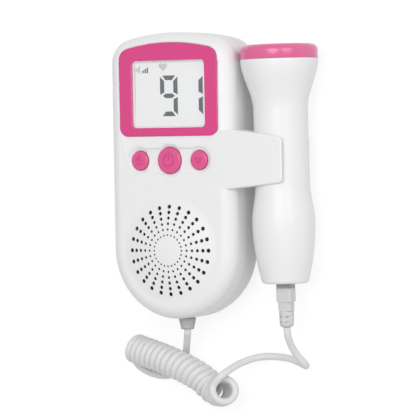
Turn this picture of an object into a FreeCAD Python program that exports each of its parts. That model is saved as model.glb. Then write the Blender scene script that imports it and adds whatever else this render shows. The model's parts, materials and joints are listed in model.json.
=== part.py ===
"""Hand-held fetal doppler monitor with a clipped-in probe and a curly cord, in millimetres.

The device lies on its back: +Z is its front, +Y its top, +X the side with the probe clip.
The origin is on the flat back face, on the centre line at mid height.
"""

import FreeCAD
import Part
import math
import os
import re
from types import SimpleNamespace

Vector = FreeCAD.Vector

# ---------------------------------------------------------------- driving dimensions

SIZES = {
    # main unit
    "body_length": 140.0,
    "body_width": 68.5,
    "body_depth": 33.7,
    "top_arc_radius": 105.0,
    "top_corner_radius": 12.0,
    "front_edge_radius": 7.0,
    "back_edge_radius": 11.5,
    "parting_height": 19.2,
    "wall": 2.2,
    "lip_width": 1.0,
    "lip_height": 1.5,
    "seam_play": 0.1,
    "seam_gap_depth": 0.35,
    "seam_gap_height": 0.3,
    # probe clip
    "clip_root_top": 22.2,
    "clip_root_bottom": -6.5,
    "clip_tip_top": 18.3,
    "clip_tip_bottom": -3.6,
    "clip_tip_radius": 2.5,
    "clip_past_body": 27.25,
    "clip_edge_radius": 0.9,
    "clip_back_finger": 2.0,
    "clip_play": 0.3,
    "clip_web": 2.2,
    # display
    "frame_width": 54.6,
    "frame_margin": 5.1,
    "frame_top_corner": 5.5,
    "frame_bottom_corner": 4.5,
    "frame_seat_depth": 1.2,
    "frame_rise": 0.4,
    "window_width": 40.7,
    "window_corner": 2.0,
    "lens_thickness": 1.35,
    "lens_ledge": 0.9,
    "panel_border": 2.6,
    "panel_thickness": 2.1,
    "strip_width": 2.4,
    # keys
    "key_pitch": 16.5,
    "side_key_radius": 4.65,
    "power_key_radius": 6.4,
    "key_rise": 0.5,
    "key_play": 0.35,
    "key_travel": 0.8,
    "key_flange": 1.0,
    "key_flange_thickness": 0.9,
    "key_rim_radius": 0.8,
    "key_crown": 0.2,
    "key_stem_radius": 1.6,
    "recess_depth": 0.6,
    "recess_margin_side": 2.25,
    "recess_margin_power": 1.8,
    "recess_band": 11.6,
    "switch_width": 6.2,
    "switch_height": 3.6,
    "plunger_radius": 1.5,
    "plunger_play": 0.08,
    # board
    "board_level": 23.0,
    "board_thickness": 1.6,
    "board_width": 57.0,
    "board_end_gap": 10.0,
    "board_corner": 3.0,
    "board_screw_gauge": 1.2,
    "board_screw_length": 6.0,
    # grille and loudspeaker
    "grille_radius": 24.5,
    "dome_radius": 85.0,
    "grille_flange": 1.5,
    "grille_drop": 0.5,
    "grille_wall": 1.0,
    "cloth_thickness": 0.3,
    "grille_rays": 24.0,
    "grille_rings": 6.0,
    "grille_first_ring": 7.6,
    "grille_ring_pitch": 2.74,
    "grille_first_hole": 0.5,
    "grille_hole_growth": 0.11,
    "speaker_radius": 20.0,
    "speaker_depth": 9.0,
    "magnet_radius": 9.0,
    "magnet_hole": 4.0,
    "basket_ledge": 2.0,
    "basket_gauge": 1.2,
    "basket_floor": 1.0,
    "basket_lap": 1.5,
    "cone_gauge": 0.6,
    "cone_rim_drop": 0.4,
    "cone_dip": 2.2,
    "dust_cap_radius": 4.2,
    # battery bay
    "cell_radius": 7.15,
    "cell_length": 50.2,
    "cell_pitch": 15.2,
    "cell_play": 0.5,
    "cell_nub": 1.5,
    "contact_gauge": 0.4,
    "contact_room": 2.2,
    "bay_end_gap": 10.6,
    "bay_wall": 1.5,
    "cover_width": 35.0,
    "cover_past_bay": 1.3,
    "cover_thickness": 2.2,
    "cover_play": 0.2,
    "cover_travel": 10.0,
    "grip_start": 52.8,
    "grip_pitch": 2.2,
    "grip_width": 1.0,
    "grip_depth": 0.5,
    "tongue_reach": 1.2,
    "tongue_length": 8.0,
    "tongue_thickness": 0.9,
    "groove_play": 0.12,
    # screws
    "boss_radius": 3.2,
    "upper_boss_x": 28.15,
    "lower_boss_x": 27.0,
    "lower_boss_rise": 58.0,
    "screw_seat": 14.0,
    "screw_head_radius": 2.6,
    "screw_head_height": 2.0,
    "screw_radius": 1.25,
    "screw_reach": 15.0,
    "post_radius": 2.4,
    "post_x": 26.0,
    "post_past_boss": 8.0,
    "board_screw_radius": 1.0,
    # cord exit
    "gland_height": 18.5,
    "gland_root_radius": 4.15,
    "gland_tip_radius": 3.1,
    "gland_length": 5.6,
    "gland_neck_radius": 3.4,
    "gland_flange_radius": 5.0,
    "gland_flange_gap": 0.6,
    # cord
    "cord_diameter": 3.5,
    "coil_diameter": 15.0,
    # probe
    "probe_length": 115.2,
    "probe_tail_radius": 11.6,
    "probe_belly_radius": 15.2,
    "probe_belly_height": 30.0,
    "probe_neck_radius": 13.2,
    "probe_neck_start": 48.0,
    "probe_neck_end": 84.0,
    "probe_head_radius": 18.8,
    "probe_cap_height": 7.0,
    "probe_cap_edge": 3.2,
    "probe_tail_edge": 1.8,
    "probe_wall": 2.0,
    "probe_clip_height": 60.5,
    "probe_gap": 19.95,
    "probe_z": 19.0,
    "probe_clip_y": 8.0,
    "probe_lean": 0.75,
    "spigot_depth": 3.5,
    "spigot_wall": 1.4,
    "piezo_radius": 14.5,
    "piezo_thickness": 2.5,
    "piezo_gap": 1.2,
    "backing_depth": 6.0,
    "backing_margin": 0.5,
    "probe_board_width": 19.0,
    "probe_board_length": 58.0,
    "probe_board_gauge": 1.2,
    "socket_radius": 4.4,
    "socket_depth": 15.0,
    "socket_wall": 1.5,
    "socket_set_in": 0.4,
    "pin_radius": 2.5,
    "pin_length": 12.0,
    "pin_tip": 2.5,
    "pin_step": 0.9,
    # plug
    "plug_width": 7.8,
    "plug_thickness": 6.5,
    "collar_length": 2.4,
    "collar_corner": 1.2,
    "plug_body_length": 6.5,
    "plug_corner": 0.9,
    "plug_neck_length": 4.5,
    "plug_neck_width": 6.8,
    "plug_neck_corner": 1.3,
    "boot_length": 7.7,
    "boot_radius": 3.6,
    "boot_tip_radius": 3.4,
    "boot_tip_edge": 0.9,
    "boot_slot_rows": 2.0,
    "boot_slot_start": 2.6,
    "boot_slot_pitch": 2.4,
    "boot_slot_height": 0.5,
    "boot_slot_depth": 1.0,
    "boot_front_web": 1.1,
    "boot_side_web": 4.0,
}
# Sizes that follow others, as shares of the body's length or from a named gap.
FOLLOWING = {
    "clip_reach": "body_width / 2 + clip_past_body",
    "frame_bottom": "body_length * 0.1386",
    "window_bottom": "body_length * 0.1679",
    "window_height": "body_length * 0.2343",
    "panel_width": "window_width + 2 * panel_border",
    "panel_height": "window_height + 2 * panel_border",
    "key_row": "body_length * 0.054",
    "board_top": "body_length / 2 - board_end_gap",
    "grille_reach": "grille_radius + grille_flange",
    "board_bottom": "grille_reach + body_width / 2 - body_length / 2 - grille_drop",
    "bay_length": "cell_length + 2 * contact_room",
    "bay_top_end": "bay_end_gap + bay_length - body_length / 2",
    "cover_top_end": "bay_top_end + cover_past_bay",
    "upper_boss_y": "body_length * 0.357",
    "lower_boss_y": "lower_boss_rise - body_length / 2",
    "post_low_y": "lower_boss_y + post_past_boss",
    "post_high_y": "body_length * 0.243",
    "probe_x": "body_width / 2 + probe_gap",
}

doc = FreeCAD.newDocument("fetal_doppler_monitor")
sheet = doc.addObject("Spreadsheet::Sheet", "Sizes")
ALIASES = list(SIZES) + list(FOLLOWING)
for row, alias in enumerate(ALIASES, start=1):
    sheet.set("A%d" % row, alias.replace("_", " "))
    sheet.setAlias("B%d" % row, alias)
for row, alias in enumerate(ALIASES, start=1):
    known = str(SIZES[alias]) if alias in SIZES else "=" + FOLLOWING[alias]
    sheet.set("B%d" % row, known)
doc.recompute()
s = SimpleNamespace(**{alias: float(sheet.get(alias)) for alias in ALIASES})

# The cord's route, chosen by hand: strain relief to coil, the coil's axis, coil to plug.
LEAD_UNIT_ROUTE = [
    (0.0, -79.3, 18.5),
    (-1.8, -83.6, 14.2),
    (-3.6, -85.6, 8.2),
    (-6.6, -88.8, 3.3),
    (-11.2, -93.6, 1.8),
    (-17.2, -97.5, 1.8),
    (-24.2, -99.2, 1.8),
    (-30.8, -98.0, 1.8),
    (-35.6, -95.6, 1.9),
    (-39.0, -93.0, 3.6),
    (-39.2, -90.0, 6.9),
]
COIL_ROUTE = [
    (-37.5, -84.6, 8.3),
    (-11.5, -92.6, 12.1),
    (14.0, -104.6, 8.3),
]
LEAD_PROBE_ROUTE = [
    (14.9, -104.9, 14.0),
    (17.4, -101.0, 13.9),
    (19.6, -96.4, 11.4),
    (22.9, -92.6, 7.0),
    (28.2, -90.2, 3.2),
    (35.6, -88.9, 1.8),
    (44.4, -88.4, 1.8),
    (50.0, -89.3, 1.8),
    (52.7, -91.0, 1.8),
    (55.5, -92.6, 1.8),
    (57.6, -93.3, 3.5),
    (58.6, -92.5, 6.2),
    (57.7, -89.9, 9.7),
    (56.2, -85.7, 13.9),
]


# ---------------------------------------------------------------- document helpers


def formula(text):
    """An expression on the sheet, from words that are aliases."""
    return re.sub(
        r"[a-z][a-z_]+",
        lambda word: "Sizes." + word.group() if word.group() in ALIASES else word.group(),
        str(text),
    )


def bind(feature, **expressions):
    for name, text in expressions.items():
        feature.setExpression(name, formula(text))


def locate(feature, x="0", y="0", z="0"):
    for axis, text in zip("xyz", (x, y, z)):
        feature.setExpression("Placement.Base." + axis, formula(text))
    return feature


def named(kind, label):
    feature = doc.addObject(kind, label)
    feature.Label = label
    return feature


def box(label, length, width, height, x, y, z):
    feature = named("Part::Box", label)
    bind(feature, Length=length, Width=width, Height=height)
    return locate(feature, x, y, z)


def cylinder(label, radius, height, x, y, z):
    feature = named("Part::Cylinder", label)
    bind(feature, Radius=radius, Height=height)
    return locate(feature, x, y, z)


def fuse(label, parts):
    feature = named("Part::MultiFuse", label)
    feature.Shapes = parts
    return feature


def cut(label, base, tools):
    feature = named("Part::Cut", label)
    feature.Base = base
    feature.Tool = tools[0] if len(tools) == 1 else fuse(label + "_tools", tools)
    return feature


def common(label, base, tool):
    feature = named("Part::Common", label)
    feature.Base = base
    feature.Tool = tool
    return feature


def plain(label, shape, placement=None):
    """A sub-part whose shape comes from Part's own functions."""
    feature = named("Part::Feature", label)
    feature.Shape = shape
    if placement:
        feature.Placement = placement
    return feature


def plane(body, role):
    return next(item for item in body.Origin.OriginFeatures if item.Role == role)


def sketch_on(body, role, name, edges, offset="0"):
    """A sketch on one of the body's own planes, lifted by an expression."""
    sketch = body.newObject("Sketcher::SketchObject", name)
    sketch.AttachmentSupport = [(plane(body, role), "")]
    sketch.MapMode = "FlatFace"
    sketch.setExpression("AttachmentOffset.Base.z", formula(offset))
    for edge in edges:
        sketch.addGeometry(edge, False)
    return sketch


def pad(body, sketch, length):
    feature = body.newObject("PartDesign::Pad", sketch.Name + "Pad")
    feature.Profile = sketch
    bind(feature, Length=length)
    body.Tip = feature
    return feature


def pocket(body, sketch, depth, reverse=False):
    feature = body.newObject("PartDesign::Pocket", sketch.Name + "Pocket")
    feature.Profile = sketch
    feature.Reversed = reverse
    bind(feature, Length=depth)
    body.Tip = feature
    return feature


def round_edges(body, base, name, radius, wanted):
    """Fillet the edges of a feature whose bounding boxes pass a test."""
    doc.recompute()
    names = [
        "Edge%d" % number
        for number, edge in enumerate(base.Shape.Edges, start=1)
        if wanted(edge.BoundBox)
    ]
    feature = body.newObject("PartDesign::Fillet", name)
    feature.Base = (base, names)
    bind(feature, Radius=radius)
    body.Tip = feature
    return feature


def turned(label, edges):
    """A body of revolution about its own Z axis, from a closed (radius, height) outline."""
    body = named("PartDesign::Body", label)
    sketch = sketch_on(body, "XZ_Plane", label + "_profile", edges)
    feature = body.newObject("PartDesign::Revolution", label + "_turn")
    feature.Profile = sketch
    feature.ReferenceAxis = (sketch, ["V_Axis"])
    feature.Angle = 360.0
    body.Tip = feature
    return body


# ---------------------------------------------------------------- outlines


def point(x, y):
    return Vector(x, y, 0)


def line(start, end):
    return Part.LineSegment(point(*start), point(*end))


def polygon(corners):
    return [line(a, b) for a, b in zip(corners, corners[1:] + corners[:1])]


def arc(start, middle, end):
    return Part.Arc(point(*start), point(*middle), point(*end))


def around(centre, radius, degrees):
    angle = math.radians(degrees)
    return (centre[0] + radius * math.cos(angle), centre[1] + radius * math.sin(angle))


def corner_arc(centre, radius, first, last):
    return arc(
        around(centre, radius, first),
        around(centre, radius, (first + last) / 2),
        around(centre, radius, last),
    )


def rounded_rectangle(x0, y0, x1, y1, radius):
    """Four lines and four corner arcs."""
    corners = [
        ((x1 - radius, y1 - radius), 0),
        ((x0 + radius, y1 - radius), 90),
        ((x0 + radius, y0 + radius), 180),
        ((x1 - radius, y0 + radius), 270),
    ]
    edges = []
    for index, (centre, angle) in enumerate(corners):
        following, turn = corners[(index + 1) % 4]
        edges.append(corner_arc(centre, radius, angle, angle + 90))
        edges.append(
            line(around(centre, radius, angle + 90), around(following, radius, turn))
        )
    return edges


ROUND_END_Y = -s.body_length / 2 + s.body_width / 2
GRILLE_Y = ROUND_END_Y - s.grille_drop
TOP_CENTRE_Y = s.body_length / 2 - s.top_arc_radius


def arched_top(half_width, arc_radius, corner_radius):
    """The two rounded upper corners and the shallow arc between them."""
    corner_x = half_width - corner_radius
    corner_y = TOP_CENTRE_Y + math.sqrt((arc_radius - corner_radius) ** 2 - corner_x**2)
    lean = math.degrees(math.asin(corner_x / (arc_radius - corner_radius)))
    right = corner_arc((corner_x, corner_y), corner_radius, 0, 90 - lean)
    top = corner_arc((0, TOP_CENTRE_Y), arc_radius, 90 - lean, 90 + lean)
    left = corner_arc((-corner_x, corner_y), corner_radius, 90 + lean, 180)
    return corner_y, [right, top, left]


def body_outline(inset):
    """Half round bottom, straight sides, shallow arched top, drawn in by an inset."""
    half = s.body_width / 2 - inset
    corner_y, top = arched_top(
        half, s.top_arc_radius - inset, s.top_corner_radius - inset
    )
    return [
        corner_arc((0, ROUND_END_Y), half, 180, 360),
        line((half, ROUND_END_Y), (half, corner_y)),
        *top,
        line((-half, corner_y), (-half, ROUND_END_Y)),
    ]


def frame_outline(play):
    """The display frame: straight sides under an arc concentric with the body's top."""
    half = s.frame_width / 2 + play
    low = s.frame_bottom - play
    radius = s.frame_bottom_corner + play
    corner_y, top = arched_top(
        half, s.top_arc_radius - s.frame_margin + play, s.frame_top_corner + play
    )
    return [
        line((-half + radius, low), (half - radius, low)),
        corner_arc((half - radius, low + radius), radius, -90, 0),
        line((half, low + radius), (half, corner_y)),
        *top,
        line((-half, corner_y), (-half, low + radius)),
        corner_arc((-half + radius, low + radius), radius, 180, 270),
    ]


def window_outline(inset):
    return rounded_rectangle(
        -s.window_width / 2 + inset,
        s.window_bottom + inset,
        s.window_width / 2 - inset,
        s.window_bottom + s.window_height - inset,
        s.window_corner,
    )


# ---------------------------------------------------------------- main unit, outer form


def rounded_block(label, inset, bottom, top):
    """The unit's form, or its hollow: an outline padded and rounded front and back."""
    body = named("PartDesign::Body", label)
    sketch = sketch_on(body, "XY_Plane", label + "_outline", body_outline(inset), bottom)
    block = pad(body, sketch, "(%s) - (%s)" % (top, bottom))
    doc.recompute()
    low, high = block.Shape.BoundBox.ZMin, block.Shape.BoundBox.ZMax
    front = round_edges(
        body,
        block,
        label + "_front",
        "front_edge_radius - %s" % inset,
        lambda edge: edge.ZMin > high - 0.01,
    )
    round_edges(
        body,
        front,
        label + "_back",
        "back_edge_radius - %s" % inset,
        lambda edge: edge.ZMax < low + 0.01,
    )
    return body


def half_space(label, bottom, height):
    return box(
        label,
        "4 * body_width",
        "2 * body_length",
        height,
        "-2 * body_width",
        "-body_length",
        bottom,
    )


def clip_frame(height):
    """The probe axis at a height above the probe's lower end, as a placement."""
    lean = FreeCAD.Rotation(Vector(0, 0, 1), s.probe_lean)
    upright = FreeCAD.Rotation(Vector(1, 0, 0), -90)
    axis = lean.multVec(Vector(0, 1, 0))
    seat = Vector(s.probe_x, s.probe_clip_y, s.probe_z)
    return FreeCAD.Placement(
        seat + axis * (height - s.probe_clip_height), lean * upright
    )


def clip_block():
    """The clip before it is hollowed: a tapered tongue with rounded tip and edges."""
    body = named("PartDesign::Body", "clip_block")
    root_x = s.body_width * 0.3
    tip_x = s.clip_reach
    edges = polygon(
        [
            (root_x, s.clip_root_bottom),
            (s.body_width / 2, s.clip_root_bottom),
            (tip_x, s.clip_tip_bottom),
            (tip_x, s.clip_tip_top),
            (s.body_width / 2, s.clip_root_top),
            (root_x, s.clip_root_top),
        ]
    )
    base = "probe_z - probe_neck_radius - clip_play - clip_back_finger"
    sketch = sketch_on(body, "XY_Plane", "clip_outline", edges, base)
    block = pad(body, sketch, "body_depth - (%s)" % base)
    rounded_tip = round_edges(
        body,
        block,
        "clip_tip",
        "clip_tip_radius",
        lambda edge: edge.XMin > tip_x - 0.01 and edge.ZLength > 1,
    )
    round_edges(
        body,
        rounded_tip,
        "clip_edges",
        "clip_edge_radius",
        lambda edge: edge.ZLength < 0.01 and edge.XMax > root_x + 0.01,
    )
    return body


def clip_channel():
    """The space for the probe's neck, open towards +X."""
    radius = s.probe_neck_radius + s.clip_play
    length = s.probe_length
    bore = Part.makeCylinder(radius, length)
    mouth = Part.makeBox(s.clip_reach, 2 * radius, length, Vector(0, -radius, 0))
    channel = bore.fuse(mouth).removeSplitter()
    return plain("clip_channel", channel, clip_frame(0))


def clip_core():
    """The hollow behind the clip's cradle, open to the inside of the unit."""
    radius = "(probe_neck_radius + clip_play)"
    return box(
        "clip_core",
        "probe_x - %s - clip_web - body_width / 2 + 2 * wall" % radius,
        "clip_root_top - clip_root_bottom - 4 * clip_web",
        "body_depth - 4 * clip_web - probe_z + %s" % radius,
        "body_width / 2 - 2 * wall",
        "clip_root_bottom + 2 * clip_web",
        "probe_z - %s + clip_web" % radius,
    )


# ---------------------------------------------------------------- places that repeat

HOUSING_SCREWS = [
    ("upper_boss_x", "upper_boss_y"),
    ("-upper_boss_x", "upper_boss_y"),
    ("lower_boss_x", "lower_boss_y"),
    ("-lower_boss_x", "lower_boss_y"),
]
BOARD_SCREWS = [
    ("post_x", "post_low_y"),
    ("-post_x", "post_low_y"),
    ("post_x", "post_high_y"),
    ("-post_x", "post_high_y"),
]
KEYS = {
    "volume_up": ("-key_pitch", "side_key_radius", "recess_margin_side"),
    "power": ("0", "power_key_radius", "recess_margin_power"),
    "volume_down": ("key_pitch", "side_key_radius", "recess_margin_side"),
}
BOARD_FACE = "board_level + board_thickness"
INNER_FACE = "body_depth - wall"


def columns(label, places, radius, height, bottom):
    """Equal upright cylinders at several places, as one feature."""
    posts = [
        cylinder("%s_%d" % (label, number), radius, height, x, y, bottom)
        for number, (x, y) in enumerate(places)
    ]
    return fuse(label, posts)


# ---------------------------------------------------------------- shells


def seam_ring(label, outer_inset, inner_inset, bottom, height):
    """A thin wall that follows the body's outline."""
    body = named("PartDesign::Body", label)
    outline = sketch_on(
        body, "XY_Plane", label + "_outer", body_outline(outer_inset), bottom
    )
    pad(body, outline, height)
    hollow = sketch_on(
        body, "XY_Plane", label + "_inner", body_outline(inner_inset), bottom
    )
    pocket(body, hollow, height, reverse=True)
    return body


def key_recess():
    """Shallow wavy recess round the three keys."""
    rounds = [
        cylinder(
            name + "_recess",
            "%s + %s" % (radius, margin),
            "wall",
            x,
            "key_row",
            "body_depth - recess_depth",
        )
        for name, (x, radius, margin) in KEYS.items()
    ]
    band = box(
        "recess_band_block",
        "2 * key_pitch",
        "recess_band",
        "wall",
        "-key_pitch",
        "key_row - recess_band / 2",
        "body_depth - recess_depth",
    )
    return fuse("key_recess", rounds + [band])


def key_holes():
    holes = [
        cylinder(
            name + "_hole",
            "%s + key_play" % radius,
            "3 * wall",
            x,
            "key_row",
            "body_depth - 2 * wall",
        )
        for name, (x, radius, _) in KEYS.items()
    ]
    return fuse("key_holes", holes)


def display_cutouts():
    """The frame's seat in the front face and the smaller opening over the panel."""
    seat = named("PartDesign::Body", "frame_seat")
    outline = sketch_on(
        seat,
        "XY_Plane",
        "frame_seat_outline",
        frame_outline(s.seam_play),
        "body_depth - frame_seat_depth",
    )
    pad(seat, outline, "wall")
    view = named("PartDesign::Body", "panel_opening")
    outline = sketch_on(
        view,
        "XY_Plane",
        "panel_opening_outline",
        window_outline(s.lens_ledge),
        "body_depth - 2 * wall",
    )
    pad(view, outline, "2 * wall")
    return [seat, view]


def gland_hole():
    hole = named("Part::Cylinder", "gland_hole")
    bind(hole, Radius="gland_neck_radius + seam_play", Height="body_width / 2")
    hole.Placement.Rotation = FreeCAD.Rotation(Vector(1, 0, 0), 90)
    return locate(hole, "0", "-body_length / 4 - body_width / 4", "gland_height")


def grille_hole():
    return cylinder(
        "grille_hole",
        "grille_radius + seam_play",
        "2 * wall",
        "0",
        str(GRILLE_Y),
        "body_depth - 3 / 2 * wall",
    )


def speaker_rim():
    """Ring inside the front that holds the grille's flange and the loudspeaker."""
    height = "wall"
    outer = cylinder(
        "rim_outer",
        "grille_radius + grille_flange + wall / 2",
        height,
        "0",
        str(GRILLE_Y),
        "body_depth - 2 * wall",
    )
    inner = cylinder(
        "rim_inner",
        "grille_radius + grille_flange + seam_play",
        "2 * wall",
        "0",
        str(GRILLE_Y),
        "body_depth - 3 * wall",
    )
    return cut("speaker_rim", outer, [inner])


def front_shell(form, hollow, clip, channel, core, exit_hole):
    upper = half_space("upper_space", "parting_height", "body_depth")
    moulded = cut("front_hollowed", fuse("front_form", [form, clip]), [hollow, core])
    walls = common("front_walls", moulded, upper)
    bosses = columns(
        "front_bosses",
        HOUSING_SCREWS,
        "boss_radius",
        "%s - parting_height + wall / 2" % INNER_FACE,
        "parting_height",
    )
    posts = columns(
        "board_posts",
        BOARD_SCREWS,
        "post_radius",
        "%s - (%s) + wall / 4" % (INNER_FACE, BOARD_FACE),
        BOARD_FACE,
    )
    lip = seam_ring(
        "seam_lip",
        s.wall - s.lip_width,
        s.wall,
        "parting_height - lip_height",
        "lip_height + wall",
    )
    pilots = columns(
        "front_pilots",
        HOUSING_SCREWS,
        "screw_radius + plunger_play",
        "screw_reach + wall",
        "screw_seat",
    )
    board_pilots = columns(
        "board_pilots",
        BOARD_SCREWS,
        "board_screw_radius + plunger_play",
        "%s - board_level - wall / 4" % INNER_FACE,
        "board_level",
    )
    seam_gap = seam_ring(
        "seam_gap", -s.seam_play, s.seam_gap_depth, "parting_height", "seam_gap_height"
    )
    solid = fuse("front_solid", [walls, bosses, posts, lip, speaker_rim()])
    openings = display_cutouts() + [key_recess(), key_holes(), grille_hole()]
    tools = openings + [seam_gap, channel, exit_hole, pilots, board_pilots]
    return cut("front_shell", solid, tools)


BAY_X = "(cell_pitch / 2 + cell_radius + cell_play)"
RAIL_X = "(cover_width / 2 + tongue_reach + cover_play + bay_wall)"
BAY_ROOF = "(cover_thickness + cell_play + 2 * cell_radius + cell_play)"


def bay_walls():
    """Tub over the cells and the thick rails that the cover's tongues run in."""
    tub = box(
        "bay_tub",
        "2 * (%s + bay_wall)" % BAY_X,
        "bay_length + 2 * bay_wall",
        "%s + bay_wall" % BAY_ROOF,
        "-%s - bay_wall" % BAY_X,
        "bay_top_end - bay_length - bay_wall",
        "0",
    )
    rails = box(
        "bay_rails",
        "2 * %s" % RAIL_X,
        "bay_length + 2 * bay_wall",
        "cover_thickness + bay_wall",
        "-%s" % RAIL_X,
        "bay_top_end - bay_length - bay_wall",
        "0",
    )
    return fuse("bay_walls", [tub, rails])


def cover_space():
    """The opening that the battery cover fills, with grooves and entry notches."""
    opening = box(
        "cover_opening",
        "cover_width + 2 * cover_play",
        "body_length",
        "cover_thickness + groove_play",
        "-cover_width / 2 - cover_play",
        "cover_top_end + cover_play - body_length",
        "0",
    )
    groove = box(
        "cover_groove",
        "cover_width + 2 * tongue_reach + 2 * cover_play",
        "body_length",
        "tongue_thickness + 2 * groove_play",
        "-cover_width / 2 - tongue_reach - cover_play",
        "cover_top_end + cover_play - body_length",
        "(cover_thickness - tongue_thickness) / 2 - groove_play",
    )
    notches = [
        box(
            "cover_notch_%d" % number,
            "cover_width + 2 * tongue_reach + 2 * cover_play",
            "tongue_length + 2 * cover_play",
            "cover_thickness / 2",
            "-cover_width / 2 - tongue_reach - cover_play",
            "%s - cover_travel - cover_play" % start,
            "0",
        )
        for number, start in enumerate(TONGUE_STARTS)
    ]
    return fuse("cover_space", [opening, groove] + notches)


TONGUE_STARTS = [
    "cover_top_end - tongue_length - tongue_length / 2",
    "cover_top_end - 4 * tongue_length - tongue_length / 2",
]


def back_shell(form, hollow, clip, channel, core, exit_hole):
    lower = half_space("lower_space", "parting_height - body_depth", "body_depth")
    moulded = cut("back_hollowed", fuse("back_form", [form, clip]), [hollow, core])
    walls = common("back_walls", moulded, lower)
    bosses = columns(
        "back_bosses",
        HOUSING_SCREWS,
        "boss_radius + wall / 2",
        "parting_height - wall / 2",
        "wall / 2",
    )
    inner = common("inside_form", form, fuse("inside_walls", [bosses, bay_walls()]))
    hollow_bay = box(
        "bay_hollow",
        "2 * %s" % BAY_X,
        "bay_length",
        BAY_ROOF,
        "-%s" % BAY_X,
        "bay_top_end - bay_length",
        "0",
    )
    rebate = seam_ring(
        "seam_rebate",
        s.wall - s.lip_width - s.seam_play,
        s.wall + s.seam_play,
        "parting_height - lip_height - seam_play",
        "lip_height + wall",
    )
    counterbores = columns(
        "counterbores",
        HOUSING_SCREWS,
        "screw_head_radius + seam_play",
        "screw_seat + wall",
        "-wall",
    )
    clearance = columns(
        "screw_clearance",
        HOUSING_SCREWS,
        "screw_radius + seam_play",
        "parting_height",
        "wall",
    )
    solid = fuse("back_solid", [walls, inner])
    tools = [cover_space(), hollow_bay, rebate, counterbores, clearance]
    return cut("back_shell", solid, tools + [channel, exit_hole])


# ---------------------------------------------------------------- display


def display_frame():
    body = named("PartDesign::Body", "display_frame")
    outline = sketch_on(
        body,
        "XY_Plane",
        "frame_face",
        frame_outline(0),
        "body_depth - frame_seat_depth",
    )
    pad(body, outline, "frame_seat_depth + frame_rise")
    window = sketch_on(
        body,
        "XY_Plane",
        "frame_window",
        window_outline(0),
        "body_depth - frame_seat_depth",
    )
    opened = pocket(body, window, "2 * frame_seat_depth", reverse=True)
    high = s.body_depth + s.frame_rise
    doc.recompute()
    round_edges(
        body,
        opened,
        "frame_edges",
        "frame_rise * 0.8",
        lambda edge: edge.ZMin > high - 0.01,
    )


def display_lens():
    body = named("PartDesign::Body", "display_lens")
    outline = sketch_on(
        body,
        "XY_Plane",
        "lens_outline",
        window_outline(s.seam_play / 2),
        "body_depth - frame_seat_depth",
    )
    pad(body, outline, "lens_thickness")


WINDOW_Y = "(window_bottom + window_height / 2)"
PANEL_BASE = "(%s - panel_thickness)" % INNER_FACE


def lcd_panel():
    box(
        "lcd_panel",
        "panel_width",
        "panel_height",
        "panel_thickness",
        "-panel_width / 2",
        "%s - panel_height / 2" % WINDOW_Y,
        PANEL_BASE,
    )


def connector_strips():
    strips = [
        box(
            "strip_%s" % name,
            "panel_width",
            "strip_width",
            "%s - (%s)" % (PANEL_BASE, BOARD_FACE),
            "-panel_width / 2",
            y,
            BOARD_FACE,
        )
        for name, y in (
            ("low", "%s - panel_height / 2" % WINDOW_Y),
            ("high", "%s + panel_height / 2 - strip_width" % WINDOW_Y),
        )
    ]
    fuse("connector_strips", strips)


def lcd_backlight():
    guide = box(
        "backlight_guide",
        "panel_width - strip_width",
        "panel_height - 3 * strip_width",
        "%s - (%s)" % (PANEL_BASE, BOARD_FACE),
        "-panel_width / 2 + strip_width / 2",
        "%s - panel_height / 2 + 3 / 2 * strip_width" % WINDOW_Y,
        BOARD_FACE,
    )
    channel = box(
        "backlight_channel",
        "panel_width",
        "panel_height / 2",
        "strip_width",
        "-panel_width / 2",
        "%s - panel_height / 4" % WINDOW_Y,
        BOARD_FACE,
    )
    cut("lcd_backlight", guide, [channel])


# ---------------------------------------------------------------- keys


def key_cap(name, x, radius):
    """A domed round key with a flange behind the wall and a stem to its switch."""
    r = getattr(s, radius)
    top = s.wall + s.key_rise
    rim = s.key_rim_radius
    flat = r - rim
    flange = -s.key_flange_thickness
    stem = -(s.body_depth - s.wall - key_plunger_top())
    sphere = (flat**2 + s.key_crown**2) / (2 * s.key_crown)
    base = top + s.key_crown - sphere
    halfway = base + math.sqrt(sphere**2 - flat**2 / 4)
    edges = [
        line((0, stem), (s.key_stem_radius, stem)),
        line((s.key_stem_radius, stem), (s.key_stem_radius, flange)),
        line((s.key_stem_radius, flange), (r + s.key_flange, flange)),
        line((r + s.key_flange, flange), (r + s.key_flange, -s.seam_play)),
        line((r + s.key_flange, -s.seam_play), (r, -s.seam_play)),
        line((r, -s.seam_play), (r, top - rim)),
        corner_arc((flat, top - rim), rim, 0, 90),
        arc((flat, top), (flat / 2, halfway), (0, top + s.key_crown)),
        line((0, top + s.key_crown), (0, stem)),
    ]
    body = turned(name + "_button", edges)
    return locate(body, x, "key_row", INNER_FACE)


def key_plunger_top():
    return s.board_level + s.board_thickness + s.switch_height + s.key_travel


def key_plunger(name, x):
    return cylinder(
        name + "_plunger",
        "plunger_radius",
        "switch_height - key_travel / 2",
        x,
        "key_row",
        "%s + 3 / 2 * key_travel" % BOARD_FACE,
    )


def key_switches():
    housings = []
    for name, (x, _, _) in KEYS.items():
        block = box(
            name + "_switch",
            "switch_width",
            "switch_width",
            "switch_height",
            "%s - switch_width / 2" % x,
            "key_row - switch_width / 2",
            BOARD_FACE,
        )
        bore = cylinder(
            name + "_switch_bore",
            "plunger_radius + plunger_play",
            "switch_height",
            x,
            "key_row",
            "%s + key_travel / 4" % BOARD_FACE,
        )
        housings.append(cut(name + "_switch_body", block, [bore]))
    fuse("key_switches", housings)


# ---------------------------------------------------------------- boards and sound


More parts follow.
